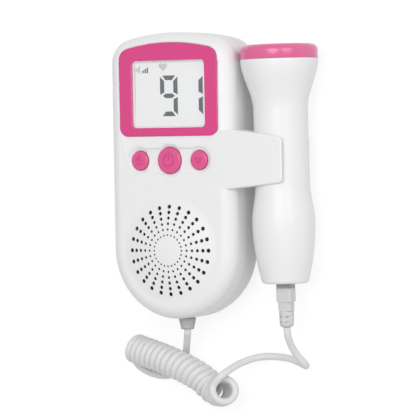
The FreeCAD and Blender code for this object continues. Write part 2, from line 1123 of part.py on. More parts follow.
def main_board():
    body = named("PartDesign::Body", "board_blank")
    half = s.board_width / 2
    edges = rounded_rectangle(
        -half, s.board_bottom, half, s.board_top, s.board_corner
    )
    outline = sketch_on(body, "XY_Plane", "board_outline", edges, "board_level")
    pad(body, outline, "board_thickness")
    boss_gaps = columns(
        "boss_gaps", HOUSING_SCREWS, "boss_radius + wall / 2", "wall * 4", "board_level - wall"
    )
    screw_gaps = columns(
        "board_holes",
        BOARD_SCREWS,
        "board_screw_radius + plunger_play",
        "wall * 4",
        "board_level - wall",
    )
    cut("main_board", body, [boss_gaps, screw_gaps])


def board_chips():
    """Processor, audio amplifier and a crystal on the board's back."""
    chips = {
        "processor": (12.0, 12.0, 1.6, -6.0, 34.0),
        "amplifier": (6.0, 5.0, 1.5, 10.0, 2.0),
        "crystal": (4.5, 11.0, 3.0, 12.0, 30.0),
    }
    blocks = [
        box(
            name + "_chip",
            str(length),
            str(width),
            str(height),
            str(x),
            str(y),
            "board_level - %s" % height,
        )
        for name, (length, width, height, x, y) in chips.items()
    ]
    fuse("board_chips", blocks)


def board_screws():
    heads = columns(
        "board_screw_heads",
        BOARD_SCREWS,
        "post_radius - wall / 5",
        "board_screw_gauge",
        "board_level - board_screw_gauge",
    )
    shanks = columns(
        "board_screw_shanks",
        BOARD_SCREWS,
        "board_screw_radius",
        "board_screw_length",
        "board_level - board_screw_gauge / 2",
    )
    fuse("board_screws", [heads, shanks])


def housing_screws():
    heads = columns(
        "housing_screw_heads",
        HOUSING_SCREWS,
        "screw_head_radius",
        "screw_head_height",
        "screw_seat - screw_head_height",
    )
    shanks = columns(
        "housing_screw_shanks",
        HOUSING_SCREWS,
        "screw_radius",
        "screw_reach + screw_head_height / 2",
        "screw_seat - screw_head_height / 2",
    )
    fuse("housing_screws", [heads, shanks])


def dome_height(radius, at):
    """Height of the grille's dome above its rim, at a distance from its axis."""
    return math.sqrt(radius**2 - at**2) - math.sqrt(s.dome_radius**2 - s.grille_radius**2)


def speaker_grille():
    """Domed grille: a turned shell with one ray of holes repeated round its axis."""
    rim = s.grille_radius
    inner = s.dome_radius - s.grille_wall
    flange = rim + s.grille_flange
    edge = rim - s.wall
    top = dome_height(s.dome_radius, 0)
    under = dome_height(inner, 0)
    edges = [
        line((0, under), (0, top)),
        arc((0, top), (rim / 2, dome_height(s.dome_radius, rim / 2)), (rim, 0)),
        line((rim, 0), (rim, -s.wall)),
        line((rim, -s.wall), (flange, -s.wall)),
        line((flange, -s.wall), (flange, -1.5 * s.wall)),
        line((flange, -1.5 * s.wall), (edge, -1.5 * s.wall)),
        line((edge, -1.5 * s.wall), (edge, dome_height(inner, edge))),
        arc((edge, dome_height(inner, edge)), (edge / 2, dome_height(inner, edge / 2)), (0, under)),
    ]
    body = turned("speaker_grille", edges)
    doc.recompute()
    holes = []
    for ring in range(int(s.grille_rings)):
        centre = (0, s.grille_first_ring + ring * s.grille_ring_pitch)
        radius = s.grille_first_hole + ring * s.grille_hole_growth
        corners = [around(centre, radius, turn) for turn in range(0, 360, 60)]
        holes.extend(polygon(corners))
    sketch = sketch_on(body, "XY_Plane", "grille_ray", holes, "-wall")
    ray = pocket(body, sketch, "4 * wall", reverse=True)
    pattern = body.newObject("PartDesign::PolarPattern", "grille_rays_pattern")
    pattern.Originals = [ray]
    pattern.Axis = (sketch, ["N_Axis"])
    pattern.Angle = 360.0
    pattern.setExpression("Occurrences", formula("grille_rays"))
    body.Tip = pattern
    return locate(body, "0", str(GRILLE_Y), "body_depth")


def dust_cloth():
    """Thin black cloth pressed up under the dome."""
    upper = s.dome_radius - s.grille_wall - s.seam_play
    lower = upper - s.cloth_thickness
    edge = s.grille_radius - s.wall - s.seam_play
    edges = [
        line((0, dome_height(lower, 0)), (0, dome_height(upper, 0))),
        arc(*[(at, dome_height(upper, at)) for at in (0, edge / 2, edge)]),
        line((edge, dome_height(upper, edge)), (edge, dome_height(lower, edge))),
        arc(*[(at, dome_height(lower, at)) for at in (edge, edge / 2, 0)]),
    ]
    return locate(turned("dust_cloth", edges), "0", str(GRILLE_Y), "body_depth")


SPEAKER_FACE = "body_depth - 3 / 2 * wall"


def speaker_frame():
    """Basket: flange under the grille, tapered wall, flat seat for the magnet."""
    r = s.speaker_radius
    flange = s.grille_radius + s.grille_flange
    seat = -s.speaker_depth / 2
    edges = polygon(
        [
            (r - s.basket_ledge, 0),
            (flange, 0),
            (flange, -s.basket_gauge),
            (r - s.basket_ledge + s.basket_gauge, -s.basket_gauge),
            (s.magnet_radius + s.basket_lap, seat),
            (s.magnet_hole, seat),
            (s.magnet_hole, seat + s.basket_floor),
            (s.magnet_radius + s.basket_floor, seat + s.basket_floor),
            (r - s.basket_ledge, -s.basket_floor),
        ]
    )
    return locate(turned("speaker_frame", edges), "0", str(GRILLE_Y), SPEAKER_FACE)


def speaker_cone():
    """Thin paper cone with a domed dust cap, hung from the frame's flange."""
    rim = s.speaker_radius - s.basket_ledge
    upper = [
        (0, -s.cone_dip / 2),
        (s.dust_cap_radius, -s.cone_dip),
        (rim, -s.cone_rim_drop),
    ]
    lower = [(x, z - s.cone_gauge) for x, z in reversed(upper)]
    edges = polygon(upper + lower)
    return locate(turned("speaker_cone", edges), "0", str(GRILLE_Y), SPEAKER_FACE)


def speaker_magnet():
    body = cylinder(
        "speaker_magnet",
        "magnet_radius",
        "speaker_depth / 2",
        "0",
        str(GRILLE_Y),
        "%s - speaker_depth" % SPEAKER_FACE,
    )
    return body


# ---------------------------------------------------------------- power


def battery_cells():
    bodies = []
    for name, side in (("left", "-1"), ("right", "1")):
        can = named("Part::Cylinder", "cell_can_" + name)
        bind(can, Radius="cell_radius", Height="cell_length - cell_nub")
        can.Placement.Rotation = FreeCAD.Rotation(Vector(1, 0, 0), 90)
        nub = named("Part::Cylinder", "cell_nub_" + name)
        bind(nub, Radius="cell_radius * 0.37", Height="cell_length")
        nub.Placement.Rotation = FreeCAD.Rotation(Vector(1, 0, 0), 90)
        x = "%s * cell_pitch / 2" % side
        z = "cover_thickness + cell_play + cell_radius"
        middle = "bay_top_end - bay_length / 2 + cell_length / 2"
        locate(can, x, "%s %s" % (middle, "- cell_nub" if side == "1" else ""), z)
        locate(nub, x, middle, z)
        bodies.append(fuse("cell_" + name, [can, nub]))
    fuse("battery_cells", bodies)


def battery_contacts():
    """Four contact leaves that fill the bay's ends beyond the cells."""
    leaves = []
    gap = "(bay_length - cell_length) / 2"
    for name, y in (
        ("top", "bay_top_end - %s" % gap),
        ("bottom", "bay_top_end - bay_length"),
    ):
        for side in ("-1", "1"):
            x = "%s * cell_pitch / 2" % side
            z = "cover_thickness + cell_play + cell_radius"
            plate_y = "bay_top_end - contact_gauge" if name == "top" else y
            plate = box(
                "contact_%s_%s" % (name, side.replace("-", "n")),
                "cell_radius * 1.5",
                "contact_gauge",
                "cell_radius * 1.4",
                "%s - cell_radius * 0.75" % x,
                plate_y,
                "%s - cell_radius * 0.7" % z,
            )
            spring = named("Part::Cone", "spring_%s_%s" % (name, side.replace("-", "n")))
            wide = "cell_radius * 0.6"
            slim = "cell_radius * 0.34"
            bind(spring, Height="%s - contact_gauge" % gap)
            bind(spring, Radius1=wide if name == "bottom" else slim)
            bind(spring, Radius2=slim if name == "bottom" else wide)
            spring.Placement.Rotation = FreeCAD.Rotation(Vector(1, 0, 0), -90)
            start = "%s + contact_gauge" % y if name == "bottom" else y
            locate(spring, x, start, z)
            leaves.append(fuse("leaf_%s_%s" % (name, side.replace("-", "n")), [plate, spring]))
    fuse("battery_contacts", leaves)


def battery_cover(form):
    """A slice of the back face with four side tongues and a ribbed thumb grip."""
    slab = box(
        "cover_slab",
        "cover_width",
        "body_length",
        "cover_thickness",
        "-cover_width / 2",
        "cover_top_end - body_length",
        "0",
    )
    plate = common("cover_plate", form, slab)
    tongues = [
        box(
            "cover_tongue_%d" % number,
            "cover_width + 2 * tongue_reach",
            "tongue_length",
            "tongue_thickness",
            "-cover_width / 2 - tongue_reach",
            start,
            "(cover_thickness - tongue_thickness) / 2",
        )
        for number, start in enumerate(TONGUE_STARTS)
    ]
    grip = [
        box(
            "cover_grip_%d" % number,
            "cover_width * 0.45",
            "grip_width",
            "grip_depth",
            "-cover_width * 0.225",
            "cover_top_end - grip_start + %d * grip_pitch" % number,
            "0",
        )
        for number in range(4)
    ]
    cut("battery_cover", fuse("cover_form", [plate] + tongues), grip)


# ---------------------------------------------------------------- cord


def strain_relief():
    """Tapered boot on the cord, trapped by a neck and a flange between the shells."""
    neck = -s.wall - s.gland_flange_gap
    edges = polygon(
        [
            (0, neck - s.wall),
            (s.gland_flange_radius, neck - s.wall),
            (s.gland_flange_radius, neck),
            (s.gland_neck_radius, neck),
            (s.gland_neck_radius, s.seam_play),
            (s.gland_root_radius, s.seam_play),
            (s.gland_root_radius, s.gland_length / 6),
            (s.gland_tip_radius, s.gland_length),
            (0, s.gland_length),
        ]
    )
    body = turned("strain_relief", edges)
    body.Placement.Rotation = FreeCAD.Rotation(Vector(1, 0, 0), 90)
    return locate(body, "0", "-body_length / 2", "gland_height")


def rounded_path(route):
    """Straight runs joined by tangent arcs as large as the runs allow."""
    corners = [Vector(*place) for place in route]
    edges = []
    radii = []
    start = corners[0]
    for before, corner, after in zip(corners, corners[1:], corners[2:]):
        back = (before - corner).normalize()
        ahead = (after - corner).normalize()
        half_turn = (math.pi - back.getAngle(ahead)) / 2
        reach = 0.45 * min((before - corner).Length, (after - corner).Length)
        radius = reach / math.tan(half_turn)
        bisector = (back + ahead).normalize()
        centre = corner + bisector * (radius / math.cos(half_turn))
        entry = corner + back * reach
        leave = corner + ahead * reach
        middle = centre - bisector * radius
        edges.append(Part.LineSegment(start, entry).toShape())
        edges.append(Part.Arc(entry, middle, leave).toShape())
        radii.append(radius)
        start = leave
    edges.append(Part.LineSegment(start, corners[-1]).toShape())
    return Part.Wire(edges), radii


def tube(label, route, diameter):
    path, radii = rounded_path(route)
    heading = Vector(*route[1]) - Vector(*route[0])
    circle = Part.Circle(Vector(*route[0]), heading, diameter / 2)
    section = Part.Wire([circle.toShape()])
    solid = path.makePipeShell([section], True, False)
    expected = math.pi * (diameter / 2) ** 2 * path.Length
    print(
        "%s: length %.1f, volume %.1f of %.1f, radii %s"
        % (
            label,
            path.Length,
            solid.Volume,
            expected,
            " ".join("%.1f" % radius for radius in radii),
        )
    )
    assert abs(solid.Volume / expected - 1) < 0.02
    return plain(label, solid)


def cord():
    exit_point = (0, -s.body_length / 2 - s.gland_length, s.gland_height)
    boot_end = clip_frame(-plug_length()).Base
    last_run = clip_frame(-plug_length() - 1.4 * s.cord_diameter).Base
    tube("cord_lead_unit", [exit_point] + LEAD_UNIT_ROUTE, s.cord_diameter)
    tube("curly_cord", COIL_ROUTE, s.coil_diameter)
    end = [tuple(last_run), tuple(boot_end)]
    tube("cord_lead_probe", LEAD_PROBE_ROUTE + end, s.cord_diameter)


# ---------------------------------------------------------------- plug


def plug_length():
    return s.collar_length + s.plug_body_length + s.plug_neck_length + s.boot_length


def on_probe(feature, height=0.0):
    feature.Placement = clip_frame(height)
    return feature


def boxy(label, width, thickness, length, radius):
    """A rounded rectangular bar along the probe axis, from its upper end downwards."""
    body = named("PartDesign::Body", label)
    edges = rounded_rectangle(
        -width / 2, -thickness / 2, width / 2, thickness / 2, radius
    )
    sketch = sketch_on(body, "XY_Plane", label + "_section", edges)
    feature = pad(body, sketch, length)
    feature.Reversed = True
    return body


def plug():
    collar = boxy(
        "plug_collar", s.plug_width, s.plug_thickness, "collar_length", s.collar_corner
    )
    on_probe(collar)
    upper = boxy(
        "plug_upper", s.plug_width, s.plug_thickness, "plug_body_length", s.plug_corner
    )
    on_probe(upper, -s.collar_length)
    neck = boxy(
        "plug_neck",
        s.plug_neck_width,
        s.plug_thickness * s.plug_neck_width / s.plug_width,
        "plug_neck_length",
        s.plug_neck_corner,
    )
    on_probe(neck, -s.collar_length - s.plug_body_length)
    fuse("plug_body", [upper, neck])
    on_probe(plug_boot(), -s.collar_length - s.plug_body_length - s.plug_neck_length)
    pin = [
        (0, 0),
        (s.pin_radius, 0),
        (s.pin_radius, s.pin_length - s.pin_tip),
        (s.pin_radius - s.pin_step, s.pin_length - s.pin_tip / 3),
        (s.pin_radius - 2 * s.pin_step, s.pin_length),
        (0, s.pin_length),
    ]
    on_probe(turned("plug_pin", polygon(pin)))


def plug_boot():
    """Tapered bend relief with rows of slots that webs divide at its front, back and sides."""
    edge = s.boot_tip_edge
    corners = [
        (0, 0),
        (s.boot_radius - edge / 2, 0),
        (s.boot_radius, -edge / 2),
        (s.boot_tip_radius, -s.boot_length + edge),
        (s.boot_tip_radius - edge, -s.boot_length),
        (0, -s.boot_length),
    ]
    form = turned("boot_form", polygon(corners))
    core = s.boot_tip_radius - s.boot_slot_depth
    past = 2 * s.boot_radius
    rings = []
    for row in range(int(s.boot_slot_rows)):
        top = -s.boot_slot_start - row * s.boot_slot_pitch
        low = top - s.boot_slot_height
        ring = [(core, top), (past, top), (past, low), (core, low)]
        rings.append(turned("boot_ring_%d" % row, polygon(ring)))
    front_web = box(
        "boot_front_bar",
        "boot_front_web",
        "4 * boot_radius",
        "boot_length",
        "-boot_front_web / 2",
        "-2 * boot_radius",
        "-boot_length",
    )
    side_web = box(
        "boot_side_bar",
        "4 * boot_radius",
        "boot_side_web",
        "boot_length",
        "-2 * boot_radius",
        "-boot_side_web / 2",
        "-boot_length",
    )
    slots = cut("boot_slots", fuse("boot_rings", rings), [front_web, side_web])
    return cut("plug_boot", form, [slots])


# ---------------------------------------------------------------- probe


def swell(z0, r0, z1, r1):
    """Curve between two radii that leaves and arrives parallel to the axis."""
    third = (z1 - z0) / 3
    curve = Part.BezierCurve()
    curve.setPoles(
        [point(r0, z0), point(r0, z0 + third), point(r1, z1 - third), point(r1, z1)]
    )
    return curve.toBSpline()


def tail_curve(z0, r0, z1, r1):
    """Curve from the tail that arrives parallel to the axis at the belly."""
    curve = Part.BezierCurve()
    curve.setPoles([point(r0, z0), point(r1, (z0 + z1) / 2), point(r1, z1)])
    return curve.toBSpline()


def probe_side(bottom, top):
    """The probe's outline from its tail's rounded edge to the head's rim."""
    belly = s.probe_belly_radius
    neck = s.probe_neck_radius
    head = s.probe_head_radius
    tail = s.probe_tail_radius
    return [
        tail_curve(bottom, tail, s.probe_belly_height, belly),
        swell(s.probe_belly_height, belly, s.probe_neck_start, neck),
        line((neck, s.probe_neck_start), (neck, s.probe_neck_end)),
        swell(s.probe_neck_end, neck, top, head),
    ]


def probe_body():
    """Handle shell: waisted tube, closed at the tail round the plug socket."""
    seam = s.probe_length - s.probe_cap_height
    edge = s.probe_tail_edge
    wall = s.probe_wall
    rim = s.probe_head_radius - wall
    hole = s.socket_radius
    tail = s.probe_tail_radius
    inside = [
        (rim, seam),
        (rim, seam - s.spigot_depth),
        (s.probe_neck_radius - wall, s.probe_neck_end),
        (s.probe_neck_radius - wall, s.probe_neck_start),
        (s.probe_belly_radius - 1.2 * wall, s.probe_belly_height),
        (tail - wall, wall),
        (hole, wall),
        (hole, 0),
    ]
    edges = (
        [
            line((hole, 0), (tail - edge, 0)),
            corner_arc((tail - edge, edge), edge, -90, 0),
        ]
        + probe_side(edge, seam)
        + [line((s.probe_head_radius, seam), (rim, seam))]
        + [line(start, end) for start, end in zip(inside, inside[1:])]
    )
    on_probe(turned("probe_body", edges))


def transducer_cap():
    """Cap over the crystals: flat face, rounded edge, spigot inside the handle's rim."""
    seam = s.probe_length - s.probe_cap_height
    top = s.probe_length
    r = s.probe_head_radius
    edge = s.probe_cap_edge
    wall = s.probe_wall
    spigot = r - wall - s.seam_play
    inner = spigot - s.spigot_wall
    face = top - wall
    edges = [
        line((0, face), (0, top)),
        line((0, top), (r - edge, top)),
        corner_arc((r - edge, top - edge), edge, 90, 0),
        line((r, top - edge), (r, seam)),
        line((r, seam), (spigot, seam)),
        line((spigot, seam), (spigot, seam - s.spigot_depth)),
        line((spigot, seam - s.spigot_depth), (inner, seam - s.spigot_depth)),
        line((inner, seam - s.spigot_depth), (inner, face)),
        line((inner, face), (0, face)),
    ]
    on_probe(turned("transducer_cap", edges))


def piezo_plates():
    """Two half-round crystals, one to send and one to receive."""
    r = s.piezo_radius
    gap = s.piezo_gap / 2
    top = s.probe_length - s.probe_wall
    plates = []
    for side in (1, -1):
        disc = Part.makeCylinder(r, s.piezo_thickness, Vector(0, 0, top - s.piezo_thickness))
        keep = Part.makeBox(
            2 * r,
            r,
            s.probe_length,
            Vector(-r, gap if side > 0 else -gap - r, 0),
        )
        plates.append(disc.common(keep))
    plain("piezo_plates", Part.makeCompound(plates), clip_frame(0))


def probe_inner_pieces():
    top = s.probe_length - s.probe_wall - s.piezo_thickness
    backing = named("Part::Cylinder", "transducer_backing")
    bind(backing, Radius="piezo_radius + backing_margin", Height="backing_depth")
    on_probe(backing, top - s.backing_depth)
    board = Part.makeBox(
        s.probe_board_width,
        s.probe_board_gauge,
        s.probe_board_length,
        Vector(-s.probe_board_width / 2, -s.probe_board_gauge / 2, 0),
    )
    plain("probe_board", board, clip_frame(top - s.backing_depth - s.probe_board_length))
    hole = s.pin_radius + s.seam_play
    socket = polygon(
        [
            (hole, s.socket_set_in),
            (s.socket_radius - s.seam_play, s.socket_set_in),
            (s.socket_radius - s.seam_play, s.probe_wall),
            (s.socket_radius + s.socket_wall, s.probe_wall),
            (s.socket_radius + s.socket_wall, s.socket_depth),
            (0, s.socket_depth),
            (0, s.socket_depth - s.socket_wall),
            (hole, s.socket_depth - s.socket_wall),
        ]
    )
    on_probe(turned("probe_socket", socket))


# ---------------------------------------------------------------- assembly

NODES = [
    "front_shell",
    "back_shell",
    "speaker_grille",
    "dust_cloth",
    "display_frame",
    "display_lens",
    "lcd_panel",
    "lcd_backlight",
    "connector_strips",
    "main_board",
    "board_chips",
    "board_screws",
    "housing_screws",
    "key_switches",
    "power_button",
    "volume_up_button",
    "volume_down_button",
    "power_plunger",
    "volume_up_plunger",
    "volume_down_plunger",
    "speaker_frame",
    "speaker_cone",
    "speaker_magnet",
    "battery_cover",
    "battery_cells",
    "battery_contacts",
    "strain_relief",
    "cord_lead_unit",
    "curly_cord",
    "cord_lead_probe",
    "plug_collar",
    "plug_body",
    "plug_boot",
    "plug_pin",
    "probe_body",
    "transducer_cap",
    "piezo_plates",
    "transducer_backing",
    "probe_board",
    "probe_socket",
]


def main_unit():
    form = rounded_block("unit_form", 0, "0", "body_depth")
    hollow = rounded_block("unit_hollow", s.wall, "wall", INNER_FACE)
    shared = (form, hollow, clip_block(), clip_channel(), clip_core(), gland_hole())
    front_shell(*shared)
    back_shell(*shared)
    speaker_grille()
    dust_cloth()
    display_frame()
    display_lens()
    lcd_panel()
    lcd_backlight()
    connector_strips()
    main_board()
    board_chips()
    board_screws()
    housing_screws()
    key_switches()
    for name, (x, radius, _) in KEYS.items():
        key_cap(name, x, radius)
        key_plunger(name, x)
    speaker_frame()
    speaker_cone()
    speaker_magnet()
    battery_cover(form)
    battery_cells()
    battery_contacts()
    strain_relief()


def probe():
    probe_body()
    transducer_cap()
    piezo_plates()
    probe_inner_pieces()
    plug()


def export():
    doc.recompute()
    failed = [item.Label for item in doc.Objects if {"Invalid", "Error"} & set(item.State)]
    if failed:
        raise RuntimeError("features that failed: " + ", ".join(failed))
    os.makedirs("parts", exist_ok=True)
    for label in NODES:
        shape = doc.getObjectsByLabel(label)[0].Shape
        if shape.isNull() or not shape.isValid():
            raise RuntimeError("no valid shape for " + label)
        shape.exportStep("parts/%s.step" % label)
        print("%s: %d solids, %.1f mm3" % (label, len(shape.Solids), shape.Volume))


main_unit()
probe()
cord()
export()
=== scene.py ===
"""Looks of a hand-held fetal doppler monitor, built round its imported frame.

Every length is in metres, in the frame of the object: its back lies on z = 0 and its face
looks along +Z. MM turns a length in millimetres into metres.
"""

import json
import math

import bmesh
import bpy
import numpy as np
from bpy.props import FloatProperty, FloatVectorProperty, IntProperty, PointerProperty
from mathutils import Matrix, Vector


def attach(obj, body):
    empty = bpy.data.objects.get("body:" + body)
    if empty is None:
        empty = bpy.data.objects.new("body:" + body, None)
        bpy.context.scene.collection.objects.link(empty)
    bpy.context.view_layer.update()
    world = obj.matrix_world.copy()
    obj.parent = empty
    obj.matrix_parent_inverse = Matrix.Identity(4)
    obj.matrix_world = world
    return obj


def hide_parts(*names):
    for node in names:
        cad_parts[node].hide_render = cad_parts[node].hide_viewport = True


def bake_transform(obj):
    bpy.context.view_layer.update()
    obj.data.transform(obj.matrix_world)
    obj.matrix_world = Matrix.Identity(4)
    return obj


bl_info = {
    "name": "Fetal Doppler Monitor",
    "version": (1, 0, 0),
    "blender": (4, 5, 0),
    "location": "View3D > Sidebar > Doppler",
    "description": "Builds the looks of a hand-held fetal doppler monitor",
    "category": "Object",
}

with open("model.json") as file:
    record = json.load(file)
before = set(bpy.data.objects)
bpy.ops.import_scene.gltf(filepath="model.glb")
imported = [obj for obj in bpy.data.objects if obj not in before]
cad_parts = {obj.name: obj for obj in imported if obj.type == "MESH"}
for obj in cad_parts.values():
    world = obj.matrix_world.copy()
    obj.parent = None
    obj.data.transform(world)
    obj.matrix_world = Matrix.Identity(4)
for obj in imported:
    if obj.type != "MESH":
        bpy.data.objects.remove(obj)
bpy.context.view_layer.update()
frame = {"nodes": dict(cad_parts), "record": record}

MM = 0.001

# The cord's route: strain relief to coil, the poles of the coil's axis, the level
# direction in which its open end faces, the lean of its even turns, coil to plug.
LEAD_ROUTE = [
    (0.0000, -0.0756, 0.0185),
    (0.0000, -0.0772, 0.0185),
    (-0.0009, -0.0781, 0.0172),
    (-0.0028, -0.0812, 0.0142),
    (-0.0054, -0.0846, 0.0102),
    (-0.0078, -0.0876, 0.0064),
    (-0.0100, -0.0912, 0.0035),
    (-0.0131, -0.0951, 0.0021),
    (-0.0166, -0.0986, 0.0018),
    (-0.0205, -0.1005, 0.0018),
    (-0.0254, -0.1006, 0.0018),
    (-0.0308, -0.0996, 0.0018),
    (-0.0353, -0.0977, 0.0018),
    (-0.0381, -0.0956, 0.0022),
    (-0.0380, -0.0936, 0.0044),
]
COIL_AXIS = [
    (-0.03651, -0.08652, 0.00764),
    (-0.02362, -0.08993, 0.01050),
    (-0.00702, -0.09264, 0.01454),
    (0.00333, -0.10159, 0.00854),
]
OPEN_WAY = np.array([0.95, 0.31, 0.0])
EVEN_LEAN = math.radians(8)
PLUG_ROUTE = [
    (0.0208, -0.0981, 0.0240),
    (0.0228, -0.0962, 0.0220),
    (0.0248, -0.0939, 0.0180),
    (0.0276, -0.0915, 0.0122),
    (0.0319, -0.0898, 0.0068),
    (0.0359, -0.0894, 0.0033),
    (0.0411, -0.0896, 0.0019),
    (0.0482, -0.0904, 0.0018),
    (0.0532, -0.0923, 0.0018),
    (0.0573, -0.0938, 0.0035),
    (0.0588, -0.0930, 0.0064),
    (0.0570, -0.0896, 0.0092),
    (0.0554, -0.0858, 0.0122),
    (0.0549, -0.0815, 0.0155),
    (0.0552, -0.0775, 0.0186),
    (0.05527, -0.0736, 0.0190),
]

# After the even turns, the coil's turns lie this share of a cord's diameter apart. The
# control points stand outside the rings by this power of half a step's cosine, because
# the line runs inside them.
TURN_SHARE = 0.93
OUTSET_POWER = 0.8

# Steps of a line between two control points, and the resolution of the jacket's round.
LEAD_STEPS = 8
CURL_STEPS = 4
JACKET_STEPS = 6

# The probe's axis: its lower end's place, how far it leans and its direction.
PROBE_FOOT = np.array([0.054992, -0.052495, 0.0190])
PROBE_LEAN = math.radians(0.75)
PROBE_AXIS = np.array([-math.sin(PROBE_LEAN), math.cos(PROBE_LEAN), 0.0])

# The probe in millimetres: its radii, and places along its axis, which are the widest of
# its belly, the two ends of its neck, its seam with the cap and its top. Then its wall,
# how deep the cap's spigot reaches into it, and the rounded edges at the seam: their
# reach, and how far their middle lies inwards and from the seam.
TAIL, BELLY, NECK, HEAD = 11.6, 15.2, 13.2, 18.8
BELLY_AT, NECK_FROM, NECK_TO, SEAM_AT, TOP_AT = 30.0, 48.0, 84.0, 108.2, 115.2
PROBE_WALL = 2.0
SPIGOT_DEPTH = 3.5
SEAM_EASE, SEAM_CORNER = 0.3, (0.1, 0.08)
PROBE_SPOKES = 128

# Heights of the housing's face and of the inner side of its wall.
FACE_TOP = 0.0337
INNER_FACE = 0.0315

# The keys: the place across and the radius of each, their row, the line of a symbol.
KEYS = {
    "volume_up": (-0.0165, 0.00465),
    "power": (0.0, 0.0064),
    "volume_down": (0.0165, 0.00465),
}
KEY_ROW = 7.56 * MM
SYMBOL_LINE = 0.65 * MM
KEY_SPOKES = 144

# The grille: its middle, its foot's radius, the dome's height, its wall, its rays and
# rings of holes, the first ring's radius and the way to the next, and a hole's radius in
# the first ring with its growth from ring to ring.
GRILLE_Y = -0.03625
GRILLE_REACH = 25.6 * MM
GRILLE_TOP = 3.6 * MM
GRILLE_WALL = 0.75 * MM
GRILLE_RAYS = 24
GRILLE_RINGS = 6
GRILLE_FIRST = 7.6 * MM
GRILLE_PITCH = 2.74 * MM
HOLE_RADIUS = 0.5 * MM
HOLE_GROWTH = 0.11 * MM

# A turned face stops this far from its axis, and close_poles shuts what is left open.
# Points nearer to each other than the second length are merged.
POLE = 0.02 * MM
MERGE = 2e-6

# The print stands this far before the display.
INK_LIFT = 0.04 * MM

# The camera: the image's width in pixels, the sensor's in millimetres, its azimuth,
# elevation and roll in degrees, its distance from the point it turns about, its focal
# length in pixels, that point and the pixel that shows it.
IMAGE_PIXELS = 416
SENSOR = 36.0
VIEW_ANGLES = (28.992, 1.679, 1.057)
VIEW_DISTANCE = 1.4617
FOCAL_PIXELS = 2989.65
VIEW_POINT = (0.015, -0.0015, 0.017)
VIEW_PIXEL = (213.1, 177.99)

# The floor's half width and how far it lies under the back, the room's strength as a
# light, and each lamp's place, width and power with the point that they all face.
FLOOR_REACH = 6.0
FLOOR_DROP = 0.02 * MM
ROOM_LIGHT = 0.56
LAMPS = {
    "key_lamp": ((0.25, 0.30, 1.30), 0.8, 5.9),
    "side_lamp": ((0.95, 0.30, 0.75), 0.7, 3.0),
}
LAMP_AIM = (0.01, -0.015, 0.02)


# ---------------------------------------------------------------- user settings


class DopplerSizes(bpy.types.PropertyGroup):
    cord_diameter: FloatProperty(
        name="Cord diameter",
        description="Outer diameter of the cord's jacket",
        default=0.0035,
        unit="LENGTH",
        precision=4,
    )
    coil_radius: FloatProperty(
        name="Coil radius",
        description="From the coil's axis to the middle of the cord",
        default=0.00575,
        unit="LENGTH",
        precision=5,
    )
    coil_turns: FloatProperty(
        name="Even turns",
        description="Turns of the curly stretch that stand across its axis, all at one lean",
        default=13.25,
    )
    bend_turns: FloatProperty(
        name="Bent turns",
        description="Turns after the even ones over which the coil's end bends up",
        default=5.0,
    )
    open_turns: FloatProperty(
        name="Open turns",
        description="Turns after the bend, which face outwards",
        default=1.125,
    )
    open_lean: FloatProperty(
        name="Open turn's lean",
        description="How far the coil's last turns lean back, which opens its end",
        default=math.radians(50),
        subtype="ANGLE",
    )
    turn_points: IntProperty(
        name="Points in a turn",
        description="Control points that one turn of the coil has",
        default=16,
    )
    smooth_angle: FloatProperty(
        name="Smooth angle",
        description="Edges of moulded pieces that bend less than this are shaded smooth",
        default=math.radians(33),
        subtype="ANGLE",
    )
    symbol_depth: FloatProperty(
        name="Symbol depth",
        description="How far the symbols are sunk into the keys",
        default=0.0005,
        unit="LENGTH",
        precision=5,
    )


class DopplerColours(bpy.types.PropertyGroup):
    shell: FloatVectorProperty(
        name="Shell",
        description="White of the moulded housing and the probe",
        default=(0.87, 0.87, 0.875),
        subtype="COLOR",
    )
    trim: FloatVectorProperty(
        name="Display frame",
        description="Pink of the frame round the display",
        default=(0.73, 0.055, 0.245),
        subtype="COLOR",
    )
    keys: FloatVectorProperty(
        name="Keys",
        description="Pink of the three keys and the transducer cap",
        default=(0.76, 0.095, 0.29),
        subtype="COLOR",
    )
    screen: FloatVectorProperty(
        name="Screen",
        description="Pale grey of the display behind its lens",
        default=(0.93, 0.94, 0.945),
        subtype="COLOR",
    )
    ink: FloatVectorProperty(
        name="Digits",
        description="Dark grey of the display's lit digits",
        default=(0.06, 0.075, 0.08),
        subtype="COLOR",
    )
    floor: FloatVectorProperty(
        name="Floor",
        description="White of the floor that the object lies on",
        default=(0.98, 0.98, 0.98),
        subtype="COLOR",
    )


def sizes():
    return bpy.context.scene.doppler_sizes


def colours():
    return bpy.context.scene.doppler_colours


# ---------------------------------------------------------------- finishes


class Level:
    """A socket that carries one number, so that shader maths reads as an expression."""

    def __init__(self, finish, socket):
        self.finish = finish
        self.socket = socket

    def maths(self, operation, *values):
        node = self.finish.node(
            "ShaderNodeMath", {"operation": operation}, dict(enumerate(values))
        )
        return Level(self.finish, node.outputs[0])

    def __add__(self, other):
        return self.maths("ADD", self, other)

    __radd__ = __add__

    def __sub__(self, other):
        return self.maths("SUBTRACT", self, other)

    def __rsub__(self, other):
        return self.maths("SUBTRACT", other, self)

    def __mul__(self, other):
        return self.maths("MULTIPLY", self, other)

    __rmul__ = __mul__

    def __gt__(self, other):
        return self.maths("GREATER_THAN", self, other)

    def __lt__(self, other):
        return self.maths("LESS_THAN", self, other)

    def wave(self):
        return self.maths("SINE", self)

    def size(self):
        return self.maths("ABSOLUTE", self)


